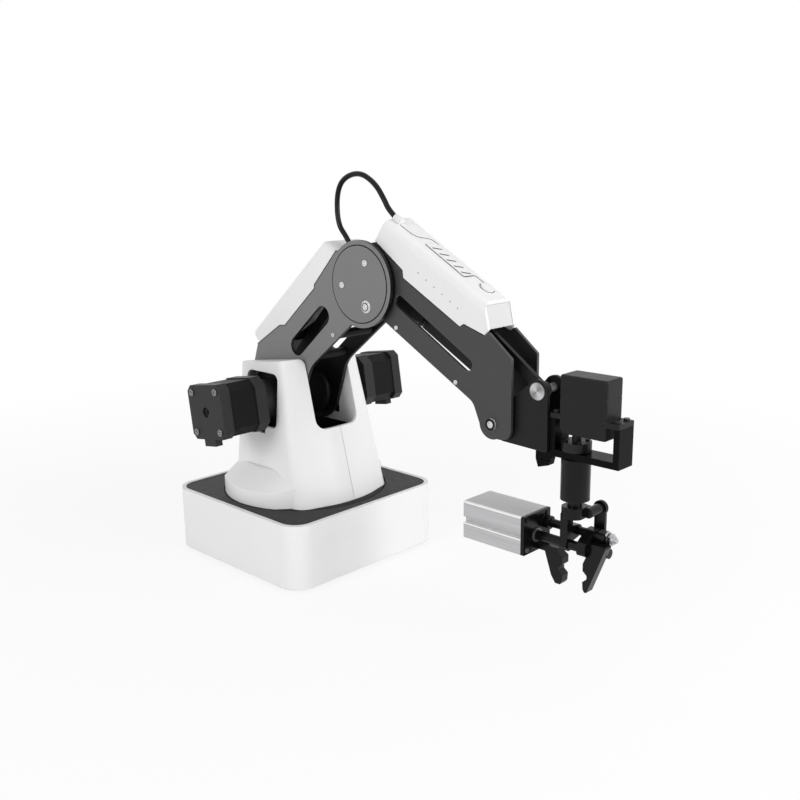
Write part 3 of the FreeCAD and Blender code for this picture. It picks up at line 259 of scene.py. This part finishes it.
def addMath(tree, kind, first, second):
    # one operation on two values, where the second may be a plain number
    node = tree.nodes.new("ShaderNodeMath")
    node.operation = kind
    tree.links.new(first, node.inputs[0])
    if isinstance(second, float):
        node.inputs[1].default_value = second
    else:
        tree.links.new(second, node.inputs[1])
    return node.outputs[0]


def addMask(tree, tests):
    # 1 where every test holds: the distance along a direction lies beyond its level
    total = None
    for direction, level in tests:
        step = addMath(tree, "GREATER_THAN", addAxis(tree, direction), level)
        total = step if total is None else addMath(tree, "MULTIPLY", total, step)
    return total


def addSheenFans(tree, s, colour):
    # painted sheen: the angle about an axis along Y, doubled, goes through a sine: two bright fans of painted
    # reflection, as on a turned face
    place = tree.nodes.new("ShaderNodeTexCoord")
    centre = tree.nodes.new("ShaderNodeMapping")
    centre.inputs["Rotation"].default_value = (math.pi / 2, 0, 0)
    centre.inputs["Location"].default_value = (-s["x"], s["z"], 0)
    fan = tree.nodes.new("ShaderNodeTexGradient")
    fan.gradient_type = "RADIAL"
    tree.links.new(place.outputs["Object"], centre.inputs["Vector"])
    tree.links.new(centre.outputs["Vector"], fan.inputs["Vector"])
    turn = addMath(tree, "MULTIPLY", fan.outputs["Fac"], 2 * math.pi * s["count"])
    wave = tree.nodes.new("ShaderNodeMath")
    wave.operation = "SINE"
    tree.links.new(turn, wave.inputs[0])
    sheen = addRange(tree, wave.outputs[0], 0.0, 1.0, -1.0, 1.0)
    return addMix(tree, sheen, tuple(c * s["dark"] for c in colour), colour)


def regionFinish(name, s):
    # a copy of a finish in which one region takes another colour, metal and roughness
    material = finishes[s["base"]].copy()
    material.name = name
    tree = material.node_tree
    shader = next(n for n in tree.nodes if n.type == "BSDF_PRINCIPLED")
    mask = addMask(tree, s["tests"])
    colour = shader.inputs["Base Color"].links[0].from_socket
    tint = addSheenFans(tree, s["fans"], s["colour"]) if "fans" in s else s["colour"]
    tree.links.new(addMix(tree, mask, colour, tint), shader.inputs["Base Color"])
    for socket, value in ((shader.inputs["Metallic"], s["metal"]), (shader.inputs["Roughness"], s["rough"])):
        if not socket.is_linked and socket.default_value == value:
            continue  # the same all over, so it stays on the socket
        swap = tree.nodes.new("ShaderNodeMix")
        tree.links.new(mask, swap.inputs["Factor"])
        if socket.is_linked:
            tree.links.new(socket.links[0].from_socket, swap.inputs[2])
        else:
            swap.inputs[2].default_value = socket.default_value
        swap.inputs[3].default_value = value
        tree.links.new(swap.outputs[0], socket)
    finishes[name] = material


# regions with a look of their own, and regions of painted highlight, sheen and shade: each test is a direction and
# the level in metres beyond which it holds
# painted highlight: the colour of the bright bands on the cylinder's edges
paintedEdgeHighlight = {"colour": (0.93, 0.93, 0.93), "metal": 0.1, "rough": 0.3}
# painted shade: the look of the arm plates' inner faces and cut edges
plateInnerShade = {"metal": 0.0, "rough": 0.5}
coverOut = (0.500851, 0, 0.865534)  # square to the flat top of the forearm cover
regionSet = {
    # turned nut, boss and groove on the right jaw
    "jawAndNut": {"base": "jawBlack", "colour": (0.50, 0.50, 0.51), "metal": 0.75, "rough": 0.42,
                  "tests": [((1, 0, 0), 0.28994), ((0, 1, 0), 0.0068), ((0, 0, 1), 0.0725)]},
    "jawBossNut": {"base": "jawAndNut", "colour": (0.13, 0.13, 0.135), "metal": 0.7, "rough": 0.24,
                   "tests": [((1, 0, 0), 0.2850), ((-1, 0, 0), -0.28993), ((0, 1, 0), 0.0068),
                             ((0, 0, 1), 0.0725)]},
    "jawTurned": {"base": "jawBossNut", "colour": (0.05, 0.05, 0.052), "metal": 0.6, "rough": 0.3,
                  "tests": [((1, 0, 0), 0.2910), ((-1, 0, 0), -0.2920), ((0, 1, 0), 0.0052),
                            ((0, 0, 1), 0.0725)]},
    # painted highlight: the drawn cylinder gets bright bands painted on its two round top edges and on the lower
    # lip of each groove
    "silverNear": {"base": "brushedSilver", **paintedEdgeHighlight,
                   "tests": [((0, -1, 0), 0.01385), ((0, 0, 1), 0.08512)]},
    "silverFar": {"base": "silverNear", **paintedEdgeHighlight,
                  "tests": [((0, 1, 0), 0.01385), ((0, 0, 1), 0.08512)]},
    "silverBody": {"base": "silverFar", **paintedEdgeHighlight,
                   "tests": [((0, 0, 1), 0.06965), ((0, 0, -1), -0.07070)]},
    # the rims of the sockets stand out of the black panel in grey
    "panelRims": {"base": "blackMoulding", "colour": (0.32, 0.32, 0.325), "metal": 0.0, "rough": 0.35,
                  "tests": [((-1, 0, 0), 0.0769)]},
    # turned end of the upper wrist pin, with two fans of painted sheen on it
    "wristPins": {"base": "screwBlack", "colour": (0.55, 0.55, 0.56), "metal": 0.6, "rough": 0.32,
                  "fans": {"x": 0.246465, "z": 0.172566, "count": 2.0, "dark": 0.4},
                  "tests": [((-1, 0, 0), -0.2546), ((0, 0, 1), 0.1615)]},
    # ring of the piston rod on the cylinder's front cap
    "capAndRing": {"base": "toolBlack", "colour": (0.16, 0.16, 0.165), "metal": 0.6, "rough": 0.3,
                   "tests": [((1, 0, 0), 0.24101), ((0, -1, 0), -0.0055), ((0, 0, -1), -0.0765)]},
    # painted shade: only the outer faces of the arm plates keep their tone, their cut edges and inner faces are
    # painted near black for the shade between the plates
    "rearPlateRight": {"base": "greyAnodised", "colour": (0.005, 0.005, 0.005), **plateInnerShade,
                       "tests": [((0, 1, 0), -0.02092)]},
    "forePlateRight": {"base": "graphiteAnodised", "colour": (0.004, 0.004, 0.004), **plateInnerShade,
                       "tests": [((0, 1, 0), -0.0128)]},
    "rearPlateLeft": {"base": "greyAnodised", "colour": (0.005, 0.005, 0.005), **plateInnerShade,
                      "tests": [((0, -1, 0), -0.02092)]},
    "forePlateLeft": {"base": "graphiteAnodised", "colour": (0.004, 0.004, 0.004), **plateInnerShade,
                      "tests": [((0, -1, 0), -0.0128)]},
    # painted shade: the comb's slots lie below the flat top and are painted dark for the shade in them
    "combCover": {"base": "whiteMoulding", "colour": (0.05, 0.05, 0.05), "metal": 0.0, "rough": 0.6,
                  "tests": [(tuple(-c for c in coverOut), -0.29930)]},
}
for name, s in regionSet.items():
    regionFinish(name, s)

nodeFinish = {
    "whiteMoulding": ["base_housing", "turret_shell_right", "turret_shell_left", "rear_arm_cover",
                      "forearm_cover", "unlock_button"],
    "shadedWhiteEnd": ["forearm_end_cap"],
    "whiteCollar": ["forearm_cable_gland"],
    "combCover": ["forearm_port_cover"],
    "rearPlateRight": ["rear_arm_plate_right"],
    "rearPlateLeft": ["rear_arm_plate_left"],
    "forePlateRight": ["forearm_plate_right"],
    "forePlateLeft": ["forearm_plate_left"],
    "darkDeckCoat": ["base_top_plate"],
    "deepBlack": ["elbow_bearings", "turret_frame", "rear_arm_standoffs", "drive_crank", "shoulder_hub"],
    "greyAnodised": ["elbow_discs"],
    "blackAnodised": ["wrist_plates", "drive_link", "rear_level_link", "forearm_level_link",
                      "elbow_level_plate"],
    "frameBlack": ["tool_frame"],
    "toolBlack": ["gripper_hanger", "left_jaw", "sync_lever", "tool_sleeve", "piston_rod"],
    "jawTurned": ["right_jaw"],
    "capAndRing": ["cylinder_front_cap"],
    "wristPins": ["wrist_fasteners"],
    "blackMoulding": ["servo_horn", "elbow_cable_gland", "crank_pin_bush"],
    "panelRims": ["rear_port_panel"],
    "markGrey": ["power_button", "reset_key"],
    "servoMoulding": ["servo_case"],
    "motorCast": ["motor_end_caps", "motor_gearboxes", "base_motor"],
    "laminatedSteel": ["motor_stacks"],
    "motorScrew": ["motor_screws"],
    "silverBody": ["cylinder_body"],
    "plainSteel": ["base_bottom_plate", "base_deck", "yaw_pulley", "motor_pulley", "turntable_ring"],
    "brightSteel": ["rear_arm_screws", "forearm_standoffs"],
    "screwSteel": ["elbow_disc_screws", "forearm_screws"],
    "footRubber": ["rubber_feet", "base_drive_belt"],
    "boardGreen": ["control_board"],
}
for look, names in nodeFinish.items():
    for name in names:
        mesh = nodes[name].data
        mesh.materials.clear()
        mesh.materials.append(finishes[look])
print("stage: finishes on", sum(len(n) for n in nodeFinish.values()), "nodes")


def splinePoints(route, steps=24):
    # points of a smooth NURBS curve through the route's ends, drawn towards the points between
    curve = bpy.data.curves.new("smoothRoute", "CURVE")
    curve.dimensions = "3D"
    curve.resolution_u = steps
    spline = curve.splines.new("NURBS")
    spline.points.add(len(route) - 1)
    for point, place in zip(spline.points, route):
        point.co = (*place, 1.0)
    spline.order_u = 3
    spline.use_endpoint_u = True
    holder = bpy.data.objects.new("smoothRoute", curve)
    bpy.context.scene.collection.objects.link(holder)
    mesh = bpy.data.meshes.new_from_object(holder)
    points = np.empty(len(mesh.vertices) * 3)
    mesh.vertices.foreach_get("co", points)
    bpy.data.objects.remove(holder)
    bpy.data.meshes.remove(mesh)
    bpy.data.curves.remove(curve)
    return points.reshape(-1, 3)


def meshFrom(name, points, faces, material):
    # a smooth-shaded object at the origin, with its place in its mesh
    mesh = bpy.data.meshes.new(name)
    mesh.from_pydata(points.tolist(), [], faces)
    mesh.polygons.foreach_set("use_smooth", np.ones(len(mesh.polygons), bool))
    mesh.materials.append(material)
    mesh.update()
    piece = bpy.data.objects.new(name, mesh)
    bpy.context.scene.collection.objects.link(piece)
    return piece


def gridFaces(rows, sides, loop=False, start=0):
    # quads between neighbouring rings of a closed grid, wound so that they face outwards
    i, j = np.meshgrid(np.arange(rows if loop else rows - 1), np.arange(sides), indexing="ij")
    k, n = (j + 1) % sides, (i + 1) % rows
    quads = np.stack([i * sides + j, i * sides + k, n * sides + k, n * sides + j], -1)
    return (quads.reshape(-1, 4) + start).tolist()


def closedFaces(rows, sides, start=0):
    # the quads of a grid of rings with a cap on its first and its last ring
    ring = np.arange(sides) + start
    return gridFaces(rows, sides, start=start) + [ring[::-1].tolist(), (ring + (rows - 1) * sides).tolist()]


def alongLine(points):
    # unit tangents of a line of points
    tangent = np.gradient(points, axis=0)
    return tangent / np.linalg.norm(tangent, axis=1)[:, None]


# elbow cable, one smooth curve from the elbow gland to the collar on the forearm cover
cableSet = {"radius": 0.00198, "sides": 20, "y": -0.007, "length": 0.129,
            "route": [(0.07433, 0.25235), (0.06700, 0.26334), (0.05720, 0.27300), (0.05660, 0.29500),
                      (0.06400, 0.30700), (0.08200, 0.31130), (0.09800, 0.30300), (0.10700, 0.29150),
                      (0.11100, 0.28480), (0.11777, 0.27966)]}


def tubeAlong(points, radius, sides):
    # each ring is the centre plus radius times (cos a of the side vector + sin a of the Y axis)
    across = np.array((0.0, 1.0, 0.0))
    side = np.cross(alongLine(points), across)
    side /= np.linalg.norm(side, axis=1)[:, None]
    angle = np.linspace(0, 2 * np.pi, sides, endpoint=False)
    ring = np.cos(angle)[None, :, None] * side[:, None, :] + np.sin(angle)[None, :, None] * across
    return (points[:, None, :] + radius * ring).reshape(-1, 3)


def makeCable(s):
    # a round profile carried along the smooth route, closed at both ends
    line = splinePoints([(x, s["y"], z) for x, z in s["route"]])
    rings = tubeAlong(line, s["radius"], s["sides"])
    cable = meshFrom("elbowCable", rings, closedFaces(len(line), s["sides"]), finishes["cableSkin"])
    print("stage: cable", round(float(np.linalg.norm(np.diff(line, axis=0), axis=1).sum()), 4), "m long")
    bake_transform(cable)
    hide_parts("elbow_cable")


makeCable(cableSet)

# thin shadow lines and small marks on the forearm cover, laid out in mm along and across its flat top
coverSet = {"elbow": (93.4393, 231.4376), "drop": 35.6, "rise": 5.544, "corner": (-9.0, 51.4),
            "width": 0.7, "height": 0.24,
            "lines": {"coverSeam": [(0.6, -7.8), (8, -7.8), (14, -7.7), (20, -7.2), (24.5, -5.0), (26.5, 1.0),
                                    (28.5, 5.2), (32, 6.1), (36, 6.1)],
                      "portEdge": [(34, -5.9), (46, -5.9), (60, -5.9), (73.2, -5.9), (74.4, -5.6), (74.6, -4),
                                   (74.6, 0), (74.6, 4.4), (75.2, 5.8), (77, 6.1), (84, 6.1)]},
            "sideMarks": [(147.0, 242.6), (154.3, 238.2), (161.6, 233.8), (168.9, 229.5), (176.2, 225.2),
                          (182.9, 221.2)],
            "sideY": -15.2, "markRadius": 0.55, "markHeight": 0.14, "markSink": 0.02, "markFlat": 0.96,
            "markRows": 5, "markSides": 16}


def turnDown(pivot, drop, x, z):
    # a point in an arm's own frame turns down by the drop about the pivot
    drop = math.radians(drop)
    return (pivot[0] + x * math.cos(drop) + z * math.sin(drop), pivot[1] - x * math.sin(drop) + z * math.cos(drop))


def coverPlace(s, along, across):
    # a point goes along the tilted top, then turns with the forearm about the elbow
    rise = math.radians(s["rise"])
    x, z = turnDown(s["elbow"], s["drop"], s["corner"][0] + along * math.cos(rise),
                    s["corner"][1] + along * math.sin(rise))
    return x * mm, across * mm, z * mm


def rectRings(points, side, normal, width, height):
    # each ring is a rectangle of width and height about its point, square to the surface
    corner = np.array([(-1, -1), (1, -1), (1, 1), (-1, 1)]) / 2
    ring = corner[None, :, :1] * width * mm * side[:, None, :] + corner[None, :, 1:] * height * mm * normal
    return (points[:, None, :] + ring).reshape(-1, 3)


def makeBead(name, line, normal, s, look, body):
    # a rectangle carried along an open line, closed at both ends
    side = np.cross(normal, alongLine(line))
    side /= np.linalg.norm(side, axis=1)[:, None]
    rings = rectRings(line, side, normal, s["width"], s["height"])
    bead = meshFrom(name, rings, closedFaces(len(line), 4), finishes[look])
    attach(bead, body)


def makeCoverLines(s):
    # smooth beads on the flat top, which leans forward by the drop less the rise
    tilt = math.radians(s["drop"] - s["rise"])
    normal = np.array((math.sin(tilt), 0.0, math.cos(tilt)))
    for name, route in s["lines"].items():
        line = splinePoints([coverPlace(s, a, y) for a, y in route])
        makeBead(name, line, normal, s, "shadowLine", "forearm")


def makeSideMarks(s):
    # a low dome: radius falls with the cosine of the rise, height grows with its sine
    rise = np.linspace(0, np.pi / 2, s["markRows"])[:, None]
    turn = np.linspace(0, 2 * np.pi, s["markSides"], endpoint=False)[None, :]
    r, h = s["markRadius"] * np.cos(rise * s["markFlat"]), s["markHeight"] * np.sin(rise) - s["markSink"]
    dome = np.stack([r * np.cos(turn), -h + 0 * turn, r * np.sin(turn)], -1).reshape(-1, 3)
    x, z = np.array(s["sideMarks"]).T
    centres = np.stack([x, np.full_like(x, s["sideY"]), z], -1)
    points = (centres[:, None, :] + dome[None, :, :]).reshape(-1, 3) * mm
    faces = []
    for i in range(len(centres)):
        faces += closedFaces(s["markRows"], s["markSides"], i * len(dome))
    marks = meshFrom("sideMarks", points, faces, finishes["markGrey"])
    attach(marks, "forearm")


# shadow lines on the arms' sides, in mm in each arm's own frame, and rings of painted shade round the discs,
# bolts, pins and button
sideSet = {"width": 0.6, "height": 0.24, "ringSteps": 96,
           "arms": {"rear": {"body": "rear_arm", "pivot": (0.0, 134.0), "drop": -46.2, "y": 21.0,
                             "route": [(135.4, 33.4), (97.9, 33.2), (95.9, 31.4), (47.1, 36.0), (42.1, 40.3),
                                       (8.4, 49.0)]},
                    "fore": {"body": "forearm", "pivot": (93.4393, 231.4376), "drop": 35.6, "y": 15.2,
                             "route": [(107.0, 44.2), (89.1, 38.5), (87.5, 34.7), (27.9, 28.1), (24.1, 32.2),
                                       (-7.7, 32.3)]}},
           "rings": {"discRing": {"x": 93.4393, "z": 231.4376, "y": 21.05, "radius": 28.2, "width": 1.1,
                                  "body": "rear_arm"},
                     "buttonRing": {"along": 89.5, "across": 3.0, "radius": 5.2, "width": 0.6,
                                    "body": "forearm"},
                     "boltRing": {"x": 100.79, "z": 215.67, "y": 22.6, "radius": 2.9, "width": 0.6,
                                  "body": "elbow"},
                     "pinRing": {"x": 212.97, "z": 145.87, "y": 16.9, "radius": 3.15, "width": 1.5,
                                 "body": "forearm"}}}
bothSides = (("Right", -1), ("Left", 1))


def makeRing(name, centre, first, second, ring, s, look="deepLine"):
    # a rectangle carried round the centre: radius times (cos a of the first axis + sin a of the second)
    angle = np.linspace(0, 2 * np.pi, s["ringSteps"], endpoint=False)[:, None]
    out = np.cos(angle) * np.array(first) + np.sin(angle) * np.array(second)
    points = np.array(centre) + ring["radius"] * mm * out
    rings = rectRings(points, out, np.cross(first, second), ring["width"], s["height"])
    band = meshFrom(name, rings, gridFaces(len(points), 4, True), finishes[look])
    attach(band, ring["body"])


def makeSideLines(s, cover):
    # borders follow each arm's route on both sides, rings stand upright on both sides, one ring lies on the top
    for arm, a in s["arms"].items():
        x, z = turnDown(a["pivot"], a["drop"], *np.array(a["route"]).T)
        for side, sign in bothSides:
            line = np.stack([x, np.full_like(x, sign * a["y"]), z], -1) * mm
            makeBead(arm + "Border" + side, line, np.array((0.0, sign, 0.0)), s, "deepLine", a["body"])
    tilt = math.radians(cover["drop"] - cover["rise"])
    for name, ring in s["rings"].items():
        if "along" in ring:
            makeRing(name, coverPlace(cover, ring["along"], ring["across"]),
                     (math.cos(tilt), 0, -math.sin(tilt)), (0, 1, 0), ring, s, "shadowLine")
            continue
        for side, sign in bothSides:
            centre = (ring["x"] * mm, sign * ring["y"] * mm, ring["z"] * mm)
            makeRing(name + side, centre, (1, 0, 0), (0, 0, -sign), ring, s)


makeCoverLines(coverSet)
makeSideMarks(coverSet)
makeSideLines(sideSet, coverSet)
print("stage: cover lines, marks and rings")

# wrist servo, a moulded case of three parts with round edges on two mounting ears, in mm
servoSet = {"x": (262.465, 297.165), "half": 9.5, "z": (147.566, 185.866), "corner": 2.0, "edge": 1.3,
            "heel": 5.0, "heelRows": (2.0, 2.8, 3.6, 4.4, 5.2),
            "seams": (159.766, 173.766), "seamWide": 0.4,
            "seamLip": [(-0.2, 0.0), (-0.05, 0.03), (0.0, 0.15), (0.05, 0.4)],
            "steps": 8, "edgeSteps": 6, "hold": 0.4, "leastRadius": 0.1, "shadeWeight": 80,
            "ears": {"x": (254.965, 306.265), "half": 9.0, "z": (156.566, 159.966), "corner": 1.2, "edge": 0.4}}


def blockRings(block, rows, s):
    # each row is a rectangle with round corners: the row's inset shrinks it, and its heel moves the back wall in
    steps = s["steps"]
    turn = (np.arange(4)[:, None] * np.pi / 2 + np.linspace(0, np.pi / 2, steps)[None, :]).reshape(-1)
    right, front = np.repeat([1, 0, 0, 1], steps), np.repeat([1, 1, -1, -1], steps)
    z, inset, heel = rows.T[:, :, None]
    radius = np.maximum(block["corner"] - inset, s["leastRadius"])
    back, face = block["x"]
    middle = np.where(right == 1, face - inset - radius, back + heel + inset + radius)
    x = middle + radius * np.cos(turn)
    y = front * (block["half"] - inset - radius) + radius * np.sin(turn)
    return np.stack([x, y, z + 0 * x], -1).reshape(-1, 3)


def roundOver(edge, s):
    # height and inset of a quarter circle at an edge, after one more row that holds the flat face
    a = np.linspace(0, np.pi / 2, s["edgeSteps"])
    arc = np.stack([edge * (1 - np.cos(a)), edge * (1 - np.sin(a))], -1)
    return np.concatenate([[(0.0, edge + s["hold"])], arc])


def blockRows(block, middle, s):
    # rows of height and inset: round at the bottom, the rows between, round at the top
    low, high = block["z"]
    arc = roundOver(block["edge"], s)
    top = arc[::-1] * (-1, 1) + (high, 0)
    return np.concatenate([arc + (low, 0)] + middle + [top])


def makeServo(s):
    # rows go up the case with a heel, two seams and round edges, and up the flat ears
    low, high = s["z"]
    lip = np.array(s["seamLip"])
    between = [np.array([(low + h, 0.0) for h in s["heelRows"]])]
    for seam in s["seams"]:
        between += [lip + (seam, 0), lip[::-1] * (-1, 1) + (seam + s["seamWide"], 0)]
    between += [np.array([(high - s["edge"] - s["hold"], 0.0)])]
    caseRows = blockRows(s, between, s)
    # the heel is a quarter circle that draws the back wall in towards the bottom
    short = np.maximum(s["heel"] - (caseRows[:, 0] - low), 0.0)
    heel = s["heel"] - np.sqrt(s["heel"] ** 2 - short ** 2)
    earRows = blockRows(s["ears"], [], s)
    case = blockRings(s, np.column_stack([caseRows, heel]), s)
    ears = blockRings(s["ears"], np.column_stack([earRows, np.zeros(len(earRows))]), s)
    sides = 4 * s["steps"]
    faces = closedFaces(len(caseRows), sides) + closedFaces(len(earRows), sides, len(case))
    servo = meshFrom("servoCase", np.concatenate([case, ears]) * mm, faces, finishes["servoMoulding"])
    shade = servo.modifiers.new("shade", "WEIGHTED_NORMAL")
    shade.weight = s["shadeWeight"]
    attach(servo, "wrist")
    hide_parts("servo_case")


makeServo(servoSet)
print("stage: servo")

# floor, light and white surround
stageSet = {"floorSize": 6.0, "floorTone": 0.93, "floorRough": 0.9, "show": 0.84, "fadeFrom": 0.24, "fadeTo": 0.75,
            "worldLight": 0.49}


def addSeen(tree):
    # 1 for a ray that the camera, a gloss or a glass sends, 0 for a ray that carries light
    ray = tree.nodes.new("ShaderNodeLightPath")
    total = ray.outputs["Is Camera Ray"]
    for kind in ("Is Glossy Ray", "Is Transmission Ray"):
        total = addMath(tree, "MAXIMUM", total, ray.outputs[kind])
    return total


def makeFloor(s):
    # a seen floor is mostly plain white and wholly so far off, the rest of it takes the shadow
    half = s["floorSize"] / 2
    corners = np.array([(-half, -half, 0), (half, -half, 0), (half, half, 0), (-half, half, 0)])
    material, tree, shader = startMaterial("paleFloor")
    tone = s["floorTone"]
    shader.inputs["Base Color"].default_value = (tone, tone, tone, 1)
    shader.inputs["Roughness"].default_value = s["floorRough"]
    white = tree.nodes.new("ShaderNodeEmission")
    place = tree.nodes.new("ShaderNodeTexCoord")
    reach = tree.nodes.new("ShaderNodeVectorMath")
    reach.operation = "LENGTH"
    tree.links.new(place.outputs["Object"], reach.inputs[0])
    fade = addRange(tree, reach.outputs["Value"], s["show"], 1.0, s["fadeFrom"], s["fadeTo"])
    blend = tree.nodes.new("ShaderNodeMixShader")
    out = next(n for n in tree.nodes if n.type == "OUTPUT_MATERIAL")
    tree.links.new(addMath(tree, "MULTIPLY", addSeen(tree), fade), blend.inputs[0])
    tree.links.new(shader.outputs["BSDF"], blend.inputs[1])
    tree.links.new(white.outputs["Emission"], blend.inputs[2])
    tree.links.new(blend.outputs["Shader"], out.inputs["Surface"])
    floor = meshFrom("floor", corners, [[0, 1, 2, 3]], material)


def makeWorld(s):
    # soft light from all round, and plain white where it is seen
    world = bpy.data.worlds.new("whiteRoom")
    bpy.context.scene.world = world
    world.use_nodes = True
    tree = world.node_tree
    tree.nodes.clear()
    out = tree.nodes.new("ShaderNodeOutputWorld")
    blend = tree.nodes.new("ShaderNodeMixShader")
    for slot, strength in ((1, s["worldLight"]), (2, 1.0)):
        background = tree.nodes.new("ShaderNodeBackground")
        background.inputs["Color"].default_value = (1, 1, 1, 1)
        background.inputs["Strength"].default_value = strength
        tree.links.new(background.outputs["Background"], blend.inputs[slot])
    tree.links.new(addSeen(tree), blend.inputs[0])
    tree.links.new(blend.outputs["Shader"], out.inputs["Surface"])


lampSet = {
    "frontBox": {"place": (1.25, 0.25, 0.5), "aim": (0.1, 0, 0.15), "size": 0.6, "power": 8.6},
    "leftBox": {"place": (0.1, -1.5, 0.6), "aim": (0.05, 0, 0.15), "size": 0.55, "power": 8.0},
    "topBox": {"place": (0.1, 0.1, 1.6), "aim": (0.1, 0, 0.1), "size": 1.0, "power": 1.4},
}


def makeLamp(name, s):
    # a square soft box that faces its aim
    data = bpy.data.lights.new(name, "AREA")
    data.energy, data.size = s["power"], s["size"]
    lamp = bpy.data.objects.new(name, data)
    lamp.location = s["place"]
    lamp.rotation_euler = (Vector(s["aim"]) - Vector(s["place"])).to_track_quat("-Z", "Y").to_euler()
    bpy.context.scene.collection.objects.link(lamp)


makeFloor(stageSet)
makeWorld(stageSet)
for name, s in lampSet.items():
    makeLamp(name, s)
print("stage: floor and light")
